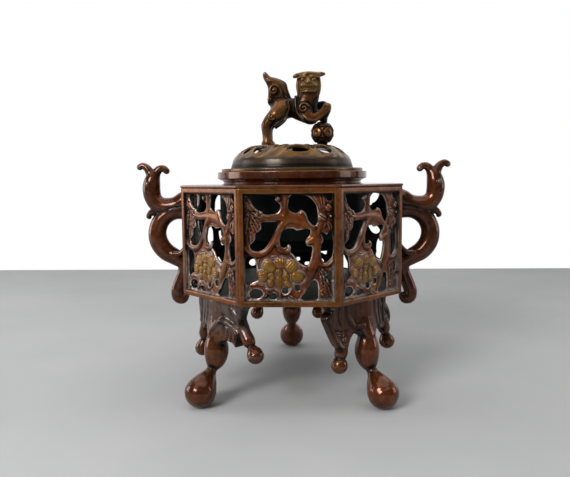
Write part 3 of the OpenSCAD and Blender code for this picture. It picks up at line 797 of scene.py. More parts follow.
def panel_mesh(name, art, strip):
    """One panel as it stands at the front: border, openwork and, behind a handle, a solid strip."""
    low = (-SIDE / 2 - 1, -APOTHEM - 0.8, BODY_Z - 0.8)
    high = (SIDE / 2 + 1, 1.2 - APOTHEM + PANEL_T, SHOULDER_Z + 0.8)
    field = Field(low, high, PANEL_STEP)
    x, y, z = field.points()
    out = -y
    solid = smooth_min(border_field(x, out, z), openwork_field(field, art, out, z), 0.35)
    if strip:
        solid = smooth_min(solid, strip_field(x, out, z), 0.2)
    mitre = math.cos(HALF_TURN) * np.abs(x) - math.sin(HALF_TURN) * out
    field.value = np.maximum(solid, mitre).astype(np.float32)
    panel_colours = PanelColours(art)
    return cast(name, field, panel_colours.gold_and_highlight, panel_colours.pale_rims, panel_colours.painted_shade_behind, panel_colours.dusting)


def add_dust_and_sheen(panel, share):
    """Lays a thin pale film of dust and painted sheen on a whole panel, and takes most of the gold off its
    border, the painted highlights along its edges with it.
    """
    dust, gilt = (panel.data.attributes[name].data for name in ("dust", "gilt"))
    values = np.zeros(len(dust), dtype=np.float32)
    dust.foreach_get("value", values)
    dust.foreach_set("value", values + share)
    gilt.foreach_get("value", values)
    gilt.foreach_set("value", np.where(values < BLOSSOM_GILT, 0.3 * values, values))


def make_panels(material):
    """The eight panels; all but the front one get a pale film of dust and painted sheen and lose most of the
    gold and painted highlights on their borders.
    """
    art = panel_drawing()
    plain = panel_mesh("openwork_panel", art, False)
    stripped = panel_mesh("openwork_panel_handle", art, True)
    for node, turn in PANEL_TURNS.items():
        mesh = stripped if node in ("panel_left", "panel_right") else plain
        panel = place("cast_" + node, mesh, "burner", node, material, turn)
        if node != "panel_front":
            add_dust_and_sheen(panel, PANEL_DUST_AND_SHEEN.get(node, USUAL_DUST_AND_SHEEN))


# Sideways places of a paw's three toes
TOES = (-1.2, 0.0, 1.2)
# Edge of the tail's plume as it is seen from the side
PLUME_EDGE = [(0, 24), (-0.3, 25.6), (-1.6, 29.2), (-2.4, 32.2), (-4.2, 33.8), (-7.7, 35.2), (-10.8, 36),
              (-12.8, 38), (-13.9, 38.2), (-14.7, 36.8), (-14.2, 34.7), (-12.4, 31.2), (-12, 28.3),
              (-12.2, 25.1), (-12.4, 22.9), (-11.5, 21.3), (-8, 19), (-3, 19)]


def lion_body(field):
    """Rump, waist, deep chest, thick neck and the round of the head."""
    field.limb([(-5, 0, 19.6, 5.9), (1, 0, 19.8, 4.9), (7, 0, 19.2, 6.0)], 0.0)
    field.limb([(4.4, 0.6, 18, 4.6), (10.2, 1.4, 15.2, 4.2)], 1.5)
    field.limb([(7, 0, 20, 5.6), (8.4, -0.4, 24.5, 5.8), (9.2, -0.8, 28.4, 5.6)], 2.0)
    field.egg((9.2, -1.4, 31.6), (5.8, 5.4, 5.0), 1.6)


def lion_face(field):
    """The broad smooth face turned to the front: brow, eyes, nose, mouth and a ruff round the jaw."""
    middle = 9.0
    field.egg((middle, -5.0, 30.6), (4.4, 3.0, 2.1), 0.9)
    field.egg((middle, -4.6, 27.3), (4.0, 2.9, 1.5), 0.5)
    field.strand([(middle, -5.8, 34.2, 0.9), (middle - 0.2, -7.4, 32.0, 1.3)], 0.6)
    field.egg((middle - 0.2, -7.9, 31.6), (1.8, 1.0, 0.9), 0.3)
    for s in (-1, 1):
        field.dent((middle + 2.9 * s, -7.0, 33.3), (1.6, 1.1, 0.9), 0.3)
        field.egg((middle + 2.9 * s, -5.9, 33.3), (1.1, 0.9, 0.8), 0.15)
        field.limb([(middle + 0.8 * s, -6.5, 34.4, 0.7), (middle + 3 * s, -6.1, 34.9, 0.8),
                    (middle + 5.4 * s, -4.4, 34.2, 0.7)], 0.3)
        field.dent((middle - 0.2 + 0.9 * s, -8.8, 31.3), (0.5, 0.6, 0.4), 0.1)
        field.limb([(middle + 5.3 * s, -3.4, 33.6, 0.8), (middle + 5.5 * s, -3.6, 30.4, 1.0),
                    (middle + 5.1 * s, -3.8, 27.2, 0.9), (middle + 4.6 * s, -4.2, 24.6, 0.5)], 0.4)
    field.crease([(middle - 4.4, -5.4, 26.0, 0.4), (middle, -7.2, 25.4, 0.5),
                  (middle + 4.4, -5.4, 26.0, 0.4)], 0.3)
    field.crease([(middle - 3.6, -6.6, 28.6, 0.5), (middle - 1.8, -7.4, 28.9, 0.6),
                  (middle, -7.8, 28.6, 0.55), (middle + 1.8, -7.4, 28.9, 0.6),
                  (middle + 3.6, -6.6, 28.6, 0.5)], 0.25)


def lion_cap(field):
    """The broad flat cap of hair, drawn out to a point at each side."""
    middle = 9.2
    field.egg((middle, -1.4, 36.1), (6.4, 5.8, 1.7), 0.4)
    field.limb([(5, -1.6, 36.0, 1.5), (2.9, -1.9, 35.8, 1.2), (1.6, -1.9, 35.3, 0.8)], 0.4)
    field.limb([(13.4, -1.6, 36.2, 1.5), (15.5, -1.5, 36.5, 1.2), (16.9, -1.3, 36.6, 0.8)], 0.4)
    field.crease([(2.6, -3.6, 34.9, 0.35), (5.4, -6.6, 35.0, 0.4), (middle, -7.6, 35.1, 0.4),
                  (13, -6.6, 35.1, 0.4), (15.8, -3.4, 35.3, 0.35)], 0.2)
    for x in (4.6, 6.9, 9.2, 11.5, 13.8):
        spread = 1.25 * (x - middle) + middle
        field.crease([(spread, -6.6, 36.4, 0.25), (x, -2, 37.9, 0.25), (x, 3.4, 37.2, 0.25)], 0.2)


def lion_mane(field):
    """Locks down the neck, a band from the neck to the shoulder and a curl on the shoulder."""
    for k in range(4):
        down = 2.4 * k
        for s in (-1, 1):
            field.limb([(5.0 + 0.1 * k, 2.4 * s + 1, 33.6 - down, 1.1), (4.3, 2.6 * s + 1, 31.8 - down, 1.1),
                        (4.8, 2.4 * s + 1, 30.2 - down, 0.6)], 0.3)
        field.limb([(6.4, 4.4, 33.4 - down, 1.2), (7.4, 4.8, 31.6 - down, 1.2),
                    (9, 4.6, 30.2 - down, 0.7)], 0.3)
    band = [(2.2, 4.4, 25, 0.6), (2.4, 5.3, 21, 0.8), (3.2, 5.6, 17, 0.9), (6.4, 6.2, 13.6, 1.0)]
    for s in (-1, 1):
        field.limb(mirrored(band, s), 0.4)
        curl = spiral((6.4, 7.2 * s, 18.8), radius=2.6, turns=1.4, thick=0.7, start=0.4, lift=-0.6 * s)
        field.strand(curl, 0.3)


def lion_tail(field):
    """The tail: a broad upright leaf with a rolled ridge and two curls on either face."""
    middle = 0.6
    x, z = field.axes[0][:, None], field.axes[2][None, :]
    face = np.full((len(field.axes[0]), len(field.axes[2])), 2.0)
    ridges = [[(-13.6, 37.6, 0.3), (-11.5, 34.6, 0.8), (-7.7, 33.4, 1.0), (-4.4, 31.4, 1.0),
               (-2.8, 28.3, 0.9), (-1.2, 25, 0.6)],
              [(-12.6, 33.6, 0.3), (-9.4, 32.2, 0.6), (-6, 30, 0.7), (-4.8, 26.6, 0.6), (-4, 23.6, 0.4)]]
    for run in ridges:
        face = face + 0.9 * bell(np.maximum(line_distance(x, z, curve(run, 4)), 0), 0.6)
    y = np.abs(field.axes[1] - middle)[None, :, None]
    edge = outline_distance(x, z, PLUME_EDGE, 4)
    sheet = smooth_max(y - face[:, None, :], edge[:, None, :], 1.8)
    field.value = smooth_min(field.value, sheet, 0.8).astype(np.float32)
    for s in (-1, 1):
        upper = (-8.8, middle + 2.4 * s, 28.7)
        lower = (-10.6, middle + 1.9 * s, 23.9)
        field.strand(spiral(upper, radius=2.7, turns=1.4, thick=0.8, start=0.6, lift=-0.8 * s), 0.2)
        field.egg((-8.8, middle + 3.0 * s, 28.7), (1.0, 1.0, 1.0), 0.2)
        field.strand(spiral(lower, radius=1.6, turns=1.2, thick=0.7, start=0.6, lift=-0.6 * s), 0.2)


def lion_hind_leg(field, s):
    """The hind leg on side s: haunch, hock, paw, a lock behind it, a curl on it and a band in front."""
    leg = [(-5.0, 3.0, 19, 4.6), (-7.6, 4.6, 15.8, 4.2), (-11.4, 5, 12.4, 3.1), (-12.7, 5, 9.4, 2.7),
           (-12.3, 5, 5, 2.1), (-12.4, 5, 1.8, 2.4)]
    field.limb(mirrored(leg, s), 1.0)
    field.strand(mirrored([(-13.6, 5, 1.2, 1.9), (-10.6, 5, 1.2, 1.9)], s), 0.4)
    for t in TOES:
        field.egg((-9.9, 5 * s + t, 0.9), (1.2, 0.75, 1.0), 0.15)
    lock = [(-13.6, 3.2, 13, 0.5), (-14.6, 5, 11, 0.8), (-14.4, 5, 6.6, 0.6), (-14.2, 5, 2.4, 0.6)]
    field.limb(mirrored(lock, s), 0.3)
    curl = spiral((-9.4, 8.3 * s, 14.4), radius=1.7, turns=1.3, thick=0.6, start=2.6, lift=-0.5 * s)
    field.strand(curl, 0.2)
    band = [(-1.4, 5.0, 22.4, 0.5), (-1.2, 5.6, 18.2, 0.7), (-4.4, 6.6, 13.4, 0.7), (-8.6, 6.8, 10.2, 0.6)]
    field.limb(mirrored(band, s), 0.4)


def lion_front_legs(field):
    """The near leg bends low and reaches over the ball; the far one reaches straight out to it."""
    field.limb([(6.6, -3.8, 18.8, 3.8), (9.2, -5.2, 15, 2.5), (12.6, -5.6, 14.6, 2.2), (16, -5.2, 17, 2.1),
                (18.4, -4.5, 19.6, 2.1), (18.2, -3.6, 17.4, 1.9), (16.4, -3.2, 14.2, 2.0)], 0.5)
    field.limb([(7.6, 3.8, 20, 3.5), (13, 4.8, 21, 2.2), (17, 4.6, 21.6, 2.0), (18, 3.9, 18.4, 1.8),
                (16.4, 3.2, 14.2, 2.0)], 0.5)
    field.limb([(5.4, -6.2, 16.4, 0.7), (8.4, -7.2, 13.4, 0.9), (12.4, -7.3, 12.6, 0.9),
                (16, -6.8, 15.2, 0.8), (19.2, -5.6, 18.6, 0.8), (19.6, -4.6, 20.6, 0.7)], 0.3)
    field.crease([(9.6, -7.8, 16.2, 0.3), (13, -7.9, 15.4, 0.3), (16.4, -7.2, 18.2, 0.3),
                  (17.8, -6.4, 19.8, 0.3)], 0.2)
    for y in (-3.2, 3.2):
        for t in TOES:
            field.egg((17.9 - 0.25 * abs(t), y + t, 13.2), (0.8, 0.7, 1.2), 0.2)


def lion_gilding(corners):
    """Gold on the head, and less of it on the tail."""
    head = 0.4 + 0.6 * ramp(corners[:, 0], 1, 4)
    return head * ramp(corners[:, 2], 24, 29)


def make_lion(material):
    """The guardian lion on the lid."""
    field = Field((-17.5, -10.5, -1), (22.5, 10.5, 40.5), LION_STEP)
    lion_body(field)
    lion_tail(field)
    lion_hind_leg(field, -1)
    lion_hind_leg(field, 1)
    lion_front_legs(field)
    lion_mane(field)
    lion_face(field)
    lion_cap(field)
    field.stand_flat()
    mesh = cast("cast_lion", field, lion_gilding)
    mesh.transform(Matrix.Translation((0, 0, TOP_Z * MM)))
    place("cast_lion", mesh, "lid", "lion", material)


def make_ball(material):
    """The brocade ball on its low foot: a sphere with linked rings cut all over it and a hollow in each."""
    rise = 1.1 * BALL_R
    field = Field((-7.2, -7.2, -1), (7.2, 7.2, rise + 7.2), BALL_STEP)
    field.egg((0, 0, rise), (BALL_R, BALL_R, BALL_R), 0.0)
    golden = (1 + math.sqrt(5)) / 2
    signs = [(a, b) for a in (-1, 1) for b in (-1, 1)]
    ways = [(0, a, b * golden) for a, b in signs]
    ways += [(a, b * golden, 0) for a, b in signs]
    ways += [(b * golden, 0, a) for a, b in signs]
    centre = np.array((0, 0, rise))
    for way in ways:
        way = np.array(way) / math.hypot(1, golden)
        first = np.cross(way, (0.3, 0.5, 0.8))
        first /= np.linalg.norm(first)
        second = np.cross(way, first)
        ring = [centre + 5.5 * way + 3.0 * (math.cos(a) * first + math.sin(a) * second)
                for a in np.linspace(0, 2 * math.pi, 17)]
        field.groove([(*spot, 0.5) for spot in ring], 0.15)
        field.dent(centre + 1.2 * BALL_R * way, (1.6, 1.6, 1.6), 0.15)
    field.strand([(0, 0, 0, 3.0), (0, 0, 1.2, 2.6)], 0.4)
    field.stand_flat()
    mesh = cast("cast_ball", field)
    mesh.transform(Matrix.Translation((BALL_X * MM, 0, TOP_Z * MM)))
    place("cast_ball", mesh, "lid", "ball", material)


def crown_height(r, wide, high):
    """Height of the crown above its wall at a radius, for a crown of the given width and height."""
    return high * (1.0 - np.clip((r - TOP_R) / wide, 0.0, 1.3) ** CROWN_BOW)


def lid_openings(x, y):
    """Distance to the nearest opening of the crown, an ellipse seen from above."""
    near = np.full(np.broadcast_shapes(x.shape, y.shape), FAR)
    for turn, long, broad in LID_OPENINGS:
        a = math.radians(turn)
        out = np.abs(x * math.cos(a) + y * math.sin(a) - (TOP_R + WALL_TOP_R) / 2)
        along = np.abs(y * math.cos(a) - x * math.sin(a))
        half = 0.5 * long * OPENING_L
        wide = 0.5 * broad * OPENING_W * np.sqrt(1.0 - np.clip(along / half, 0.0, 1.0) ** 2)
        past = np.maximum(along - half, 0.0)
        near = np.minimum(near, np.hypot(0.8 * (out - wide), past) * np.sign(out - wide + past))
    return near


def lid_scroll(x, y, hole):
    """Height of the leaf scroll on the crown: a rolled rim round each opening, fluted leaves between."""
    r = np.hypot(x, y)
    angle = np.arctan2(y, x)
    rim = 0.4 * bell(hole - 0.8, 0.55)
    veins = np.tanh(2.0 * np.cos(24 * angle + 0.7 * (r - 25)))
    flutes = 0.22 * veins * ramp(hole, 1.2, 2.0)
    zone = ramp(r, 18.4, 19.9) * ramp(r, 30.3, 29.9)
    return (0.1 + rim + flutes) * zone


def lid_dome(x, y, z):
    """Distance to the lid's wall and its crown, pierced between scrolling leaves."""
    r = np.hypot(x, y)
    hole = lid_openings(x, y)
    outer_r = WALL_FOOT_R - (WALL_FOOT_R - WALL_TOP_R) * ramp(z, DOME_Z, CROWN_Z)
    shell_top = CROWN_Z + crown_height(r, WALL_TOP_R - TOP_R, CROWN_H) + lid_scroll(x, y, hole)
    under = CROWN_Z + crown_height(r, WALL_TOP_R - LID_T - TOP_R, CROWN_H - LID_T)
    dome = smooth_max(0.85 * (z - shell_top), r - outer_r, 0.5)
    hollow = np.maximum(z - under, r - WALL_TOP_R + LID_T)
    dome = np.maximum(np.maximum(dome, -hollow), DOME_Z - 0.5 - z)
    return smooth_max(dome, -np.maximum(hole, CROWN_Z - LID_T - z), 0.3)


def lid_lip(r, z):
    """Distance to the lid's flat lip, rounded at its edge."""
    rounding = 0.35
    lip = np.maximum(np.abs(z - LIP_Z - LIP_T / 2) - LIP_T / 2 + rounding, r - LIP_R + rounding)
    return np.maximum(lip, WALL_TOP_R - LID_T - r) - rounding


def lid_gilding(corners):
    """Gold on the crown and round the lip's edge."""
    on_crown = ramp(corners[:, 2] - CROWN_Z, 0.3, 0.7)
    reach = np.hypot(corners[:, 0], corners[:, 1])
    on_lip = ramp(DOME_Z - corners[:, 2], -0.2, 0.1) * ramp(reach, 32.6, 33.2)
    return np.maximum(on_crown, on_lip)


def make_lid(material):
    """The lid: dome, lip and locating ring."""
    field = Field((-38, -38, LIP_Z - 4), (38, 38, TOP_Z + 1.5), LID_STEP)
    x, y, z = field.points()
    r = np.hypot(x, y)
    ring = np.maximum(np.abs(r - RING_R) - RING_T / 2, np.abs(z - LIP_Z + 1.4) - 1.6)
    solid = smooth_min(lid_dome(x, y, z), lid_lip(r, z), 0.6)
    field.value = smooth_min(solid, ring, 0.2).astype(np.float32)
    mesh = cast("cast_lid", field, lid_gilding)
    place("cast_lid", mesh, "lid", "lid", material)


def from_panel(beads, s=1):
    """Beads out, sideways, up, radius from the foot of a side panel's face, set on side s of a handle."""
    return [(APOTHEM + x, s * y, BODY_Z + z, r) for x, y, z, r in beads]


def spine(beads):
    """Beads out, up, radius in a handle's middle plane."""
    return from_panel([(x, 0, z, r) for x, z, r in beads])


def handle_neck(field):
    """The beast's neck and head, rising from its root to two curled horns."""
    neck = [(-2, 46.6, 5.6), (2.5, 45.6, 5.4), (7, 43.4, 4.9), (12, 42.6, 4.8), (16.6, 43.6, 4.6),
            (19.6, 47, 4.5), (20.5, 51.4, 4.7), (20.2, 55.2, 4.4), (19.2, 58.6, 3.3), (18.8, 60.2, 2.4)]
    inner = [(19, 57.4, 2.6), (17.6, 60.6, 2.3), (15.8, 62.6, 2.0), (13.6, 62.8, 1.8), (12.2, 61.6, 1.75)]
    outer = [(20, 57.4, 2.6), (21, 60.6, 2.4), (22.6, 63.2, 2.0), (24.8, 64.4, 1.7), (26.4, 63.7, 1.65)]
    field.limb(spine(neck), 0.3)
    for horn in (inner, outer):
        field.limb(spine(horn), 0.7)
    mouth = [(22.6, 4.4, 50.6, 0.3), (20.6, 5.2, 49.4, 0.4), (18.6, 5.2, 46.6, 0.3)]
    for s in (-1, 1):
        field.egg((APOTHEM + 21.6, 4.1 * s, BODY_Z + 54.6), (1.5, 1.2, 1.5), 0.3)
        field.crease(from_panel(mouth, s), 0.3)


def handle_loop(field):
    """The body that bows out below the neck, its spur, and the tail that curls under."""
    loop = [(-2, 39.4, 4.6), (3, 40.2, 4.4), (8, 40.2, 4.4), (12.6, 38.2, 4.4), (16.2, 34.6, 4.6),
            (18, 29.4, 4.8), (17.2, 23.6, 4.9), (13.8, 18.8, 4.8), (9, 15.8, 4.4), (4.6, 13, 3.8),
            (3, 11, 3.4)]
    tail = [(-0.8, 26.6, 1.2), (0.2, 22, 2.4), (1.8, 16.6, 3.4), (3.4, 11, 3.6), (4.6, 6.6, 3.3),
            (6.4, 2, 3.5), (7.9, -2.4, 3.5), (7.7, -5.8, 3.4), (5.6, -7, 2.9), (3.9, -5.6, 2.2)]
    spur = [(19.2, 40.2, 2.2), (21.4, 39.2, 1.7), (22.6, 37.6, 1.3), (21.8, 36.8, 0.9)]
    field.limb(spine(loop), 0.35)
    field.limb(spine(tail), 0.5)
    field.limb(spine(spur), 0.5)
    seam = [(3, 4.6, 42.9, 0.4), (9, 4.7, 42.1, 0.5), (16, 4.8, 39.6, 0.5), (20.4, 3.4, 41.6, 0.4)]
    whisker = [(1.6, 2.6, 22.5, 0.8), (5.4, 3.4, 18, 1.4), (9.6, 3.9, 18, 0.8)]
    for s in (-1, 1):
        field.crease(from_panel(seam, s), 0.35)
        field.limb(from_panel(whisker, s), 1.0)
        curl = (APOTHEM + 5.4, 3.4 * s, BODY_Z - 4.6)
        field.groove(spiral(curl, radius=2.4, turns=1.2, thick=0.35, start=1.2, lift=0.0), 0.3)


def make_handles(material):
    """The right handle, and the left one as its mirror image."""
    field = Field((APOTHEM - 2, -7.5, BODY_Z - 12), (APOTHEM + 29, 7.5, BODY_Z + 68), HANDLE_STEP)
    handle_neck(field)
    handle_loop(field)
    field.value = smooth_max(field.value, APOTHEM - field.axes[0][:, None, None], 0.15)
    # A little more painted shade over the whole handle
    right = cast("cast_handle", field, darkening=lambda corners: 0.05)
    place("cast_handle_right", right, "burner", "handle_right", material)
    left = right.copy()
    left.transform(Matrix.Scale(-1, 4, (1, 0, 0)))
    left.flip_normals()
    place("cast_handle_left", left, "burner", "handle_left", material)


def leg_post(field):
    """The leg proper: hip, knee, thin neck and ball foot."""
    post = [(49.4, 42, 3.2), (50.2, 37, 3.1), (50.8, 33.4, 3.5), (51, 29.8, 4.9), (51, 25.6, 5.9),
            (51.5, 21.6, 5.0), (52.8, 18.4, 3.0), (54.2, 16.2, 2.5), (56.2, 13.6, 3.6), (58.6, 10.2, 5.9),
            (60.8, 7.2, 7.5)]
    field.limb([(x, 0, z, r) for x, z, r in post], 0.5)


def leaf_sheet(field, outline, ridges, lines):
    """The leaf laid over the top of a leg: its outline seen from outside, with ridges and cut lines."""
    y, z = field.axes[1][:, None], field.axes[2][None, :]
    edge = outline_distance(y, z, outline, 3)
    cover = 4.4 + 1.8 * ramp(z, 43, 34)
    grain = 0.06 * np.sin(2.4 * y + 0.15 * z + 0.9 * np.sin(0.35 * z))
    face = LEG_X + 2.2 + cover * bell(y, 9) + grain
    for run, height, wide in ridges:
        face = face + height * bell(line_distance(y, z, curve(run, 4)), wide)
    for run in lines:
        face = face - 0.4 * bell(line_distance(y, z, curve(run, 4)), 0.4)
    x = field.axes[0][:, None, None]
    slab = smooth_max(x - face[None], LEG_X - 2.6 - x, 1.0)
    sheet = smooth_max(slab, edge[None], 1.1)
    field.value = smooth_min(field.value, sheet, 1.5)


def on_side(points, s):
    """Points drawn for one side of a leg, set on side s of it."""
    return [(s * p[0], *p[1:]) for p in points]


# Kinds of a leaf's sides, as sideways and up: the edge from the body down to the leg, ridges with their
# height and width, and cut lines
WEB = {
    "edge": [(17.4, 50.6), (17.2, 46.5), (15.6, 42.4), (17.4, 38.6), (16, 35.6), (13.6, 34.4), (13.2, 30.6),
             (12.6, 28.6), (10.8, 30.6), (7.6, 31.4), (5, 30.6), (3, 32)],
    "ridges": [([(0.6, 35, 0.6), (3, 38.6, 0.6), (6.6, 41.4, 0.6)], 1.5, 0.8),
               ([(6.6, 41.4, 0.6), (10.6, 39.4, 0.8), (14.6, 36.6, 1.2), (17, 33.6, 1.4)], 1.6, 0.9),
               ([(11, 47, 0.4), (13.6, 43.6, 0.5), (15.6, 38.6, 0.6)], 0.7, 0.7)],
    "lines": [[(7, 39.6, 0), (7.6 + 1.7 * k, 36, 0), (6.4 + 2 * k, 31.6, 0)] for k in range(4)]
             + [[(5 + 5 * k, 49.6, 0), (6 + 4.6 * k, 45.6, 0), (7 + 4 * k, 43, 0)] for k in range(2)],
}
WING = {
    "edge": [(21.4, 50.6), (22.4, 47), (25.2, 44.2), (22.8, 39), (19.6, 33.2), (16.2, 28.8), (12, 28.4),
             (10.6, 32), (8.6, 35.4), (5.6, 36), (3, 33)],
    "ridges": [([(21.6, 47, 0.4), (23.4, 43.6, 0.5), (21.4, 38.4, 0.5), (18, 33, 0.5),
                 (15, 29.8, 0.5)], 0.9, 0.7),
               ([(15.2, 33.4, 1.2), (15, 33.2, 1.2)], 1.3, 0.6),
               ([(12.4, 50, 0.5), (11.6, 43, 0.6), (8.6, 38.4, 0.6), (5, 38.6, 0.6)], 0.9, 0.7)],
    "lines": [[(19 - 0.3 * k, 37.6 - 1.4 * k, 0), (15.4, 36.6 - 1.1 * k, 0), (12.4, 37.4 - 1.2 * k, 0)]
              for k in range(3)] + [[(17, 49, 0), (18, 44, 0), (16.4, 40, 0)]],
}
FOLD = {
    "edge": [(15.4, 50.6), (16, 45), (15.4, 39), (16, 34), (12.6, 33.4), (9.4, 36), (6.6, 37.6), (3, 34)],
    "ridges": [([(4.5 + 5 * k, 49.6, 1.4), (5.5 + 4.6 * k, 44, 1.6), (7 + 4 * k, 38, 1.0)], 0.9, 1.1)
               for k in range(3)],
    "lines": [[(7.2 + 4.8 * k, 48, 0), (8 + 4.4 * k, 43, 0), (9 + 4 * k, 38, 0)] for k in range(2)],
}
LEAF_SIDES = {"leg_front_left": (WEB, FOLD), "leg_front_right": (FOLD, WING), "leg_back": (WEB, WEB)}


def leg_leaf(field, node):
    """One leaf from its two sides, each of its own kind."""
    left, right = LEAF_SIDES[node]
    outline = on_side(left["edge"], 1) + on_side(right["edge"], -1)[::-1]
    ridges, lines = [], []
    for kind, s in ((left, 1), (right, -1)):
        ridges += [(on_side(run, s), height, wide) for run, height, wide in kind["ridges"]]
        lines += [on_side(run, s) for run in kind["lines"]]
    leaf_sheet(field, outline, ridges, lines)


def leg_drop(field, root, ball):
    """A drop that hangs from the leaf: bulge, thin neck and ball."""
    root = np.array((LEG_X, *root))
    ball = np.array((LEG_X, *ball))
    shares = ((0.0, 2.9), (0.25, 3.0), (0.45, 3.1), (0.6, 2.0), (0.68, 1.5), (0.82, 2.7), (1.0, 4.0))
    field.limb([(*(root + t * (ball - root)), r) for t, r in shares], 0.6)


def leg_curl(field):
    """The tendril that loops over the back drop of the front right leg."""
    field.limb([(LEG_X + 1, 9, 46, 2.4), (LEG_X + 1, 14, 45.2, 2.3), (LEG_X, 18.6, 42.4, 2.2),
                (LEG_X, 20.4, 37.6, 2.1), (LEG_X, 18.4, 33.6, 2.1)], 0.6)
    field.limb([(LEG_X + 2, 6, 42, 1.8), (LEG_X + 1.6, 9.4, 38.6, 2.2), (LEG_X + 1, 12.6, 35.6, 1.8),
                (LEG_X + 1, 13.4, 33.4, 1.0)], 0.6)


def on_leaf(corners):
    """1 on the leaf over a leg, 0 on the leg below it."""
    return ramp(corners[:, 2], 33, 38)


def leg_mesh(node):
    """One leg as it stands to the right of the body's axis: post, leaf and drops."""
    field = Field((40, -29.5, -1), (69.5, 29.5, BODY_Z + 1.2), LEG_STEP)
    leg_post(field)
    leg_leaf(field, node)
    for root, ball in LEG_DROPS[node]:
        leg_drop(field, root, ball)
    if node == "leg_front_right":
        leg_curl(field)
    field.stand_flat()
    field.value = np.maximum(field.value, (field.axes[2] - BODY_Z)[None, None, :])
    # More painted shade on the leaf and a little less than usual on the leg below it, fewer pale edges on the
    # leaf, and on the front left leg painted sheen laid on the leaf through the dust layer
    leg_sheen = LEG_SHEEN.get(node, 0.0)
    return cast("cast_" + node, field,
                pale_edge_extra=lambda corners: -0.07 * on_leaf(corners),
                darkening=lambda corners: 0.2 * on_leaf(corners) - 0.04,
                dust=lambda corners: leg_sheen * on_leaf(corners))


def make_legs(material):
    """The three legs."""
    for node, turn in LEG_TURNS.items():
        place("cast_" + node, leg_mesh(node), "burner", node, material, turn)


def ring_mesh(name, rims):
    """A closed ring from its sections, each an angle and its points of radius and height, in millimetres."""
    count = len(rims[0][1])
    corners = [(r * math.cos(a) * MM, r * math.sin(a) * MM, z * MM) for a, rim in rims for r, z in rim]
    faces = []
    for i in range(len(rims)):
        ahead = (i + 1) % len(rims)
        for k in range(count):
            n = (k + 1) % count
            faces.append((i * count + k, ahead * count + k, ahead * count + n, i * count + n))
    mesh = bpy.data.meshes.new(name)
    mesh.from_pydata(corners, [], faces)
    mesh.update()
    return mesh


def rounded(points, radius):
    """A closed outline with each corner rounded."""
    points = np.array(points, dtype=float)
    run = []
    for i, corner in enumerate(points):
        before, after = points[i - 1] - corner, points[(i + 1) % len(points)] - corner
        long_before, long_after = np.linalg.norm(before), np.linalg.norm(after)
        cut = min(radius, 0.45 * long_before, 0.45 * long_after)
        start = corner + cut * before / long_before
        end = corner + cut * after / long_after
        for t in np.linspace(0, 1, 5):
            run.append((1 - t) ** 2 * start + 2 * t * (1 - t) * corner + t**2 * end)
    return run


def shade_by_height(mesh, layer, rule):
    """Keeps a value on each corner, by a rule of its height in millimetres."""
    keep_layer(mesh, layer, [rule(corner.co.z / MM) for corner in mesh.vertices])


def make_collar(material):
    """The turned collar round the mouth, with painted shade on all but its upper edge, and pale along that
    edge: wear that also stands for a painted highlight.
    """
    profile = rounded([(MOUTH_R, COLLAR_Z), (37, COLLAR_Z), (35.6, COLLAR_Z + 0.9), (36.2, COLLAR_Z + 2.0),
                       (38.5, COLLAR_Z + 2.9), (COLLAR_R, COLLAR_Z + 3.1), (COLLAR_R, LIP_Z),
                       (MOUTH_R, LIP_Z)], 0.35)
    turns = [2 * math.pi * i / COLLAR_SIDES for i in range(COLLAR_SIDES)]
    mesh = ring_mesh("turned_collar", [(turn, profile) for turn in turns])
    shade_smooth(mesh)
    # Painted shade below the upper edge; a pale edge of wear and painted highlight along it
    shade_by_height(mesh, "hollow", lambda z: 0.12 if z < LIP_Z - 0.5 else 0.06)
    shade_by_height(mesh, "edge", lambda z: 0.06 if z > LIP_Z - 0.3 else 0.0)
    place("turned_collar", mesh, "burner", "collar", material)


def make_shoulder(material):
    """The shoulder plate: eight-sided outside with softened edges, round at the mouth."""
    edge = [(0.0, 0.0), (0.35, 0.25), (0.4, 0.6), (0.3, 0.95), (0.0, SHOULDER_T)]
    rims = []
    for i in range(SHOULDER_SIDES):
        a = 2 * math.pi * (i + 0.5) / SHOULDER_SIDES
        turn = (a + HALF_TURN) % (2 * HALF_TURN) - HALF_TURN
        flat = APOTHEM / math.cos(turn)
        rim = [(MOUTH_R, 0.0), *[(flat + o, h) for o, h in edge], (MOUTH_R, SHOULDER_T)]
        rims.append((a, [(r, SHOULDER_Z + h) for r, h in rim]))
    mesh = ring_mesh("shoulder_plate", rims)
    place("dressed_shoulder", mesh, "burner", "shoulder_plate", material)


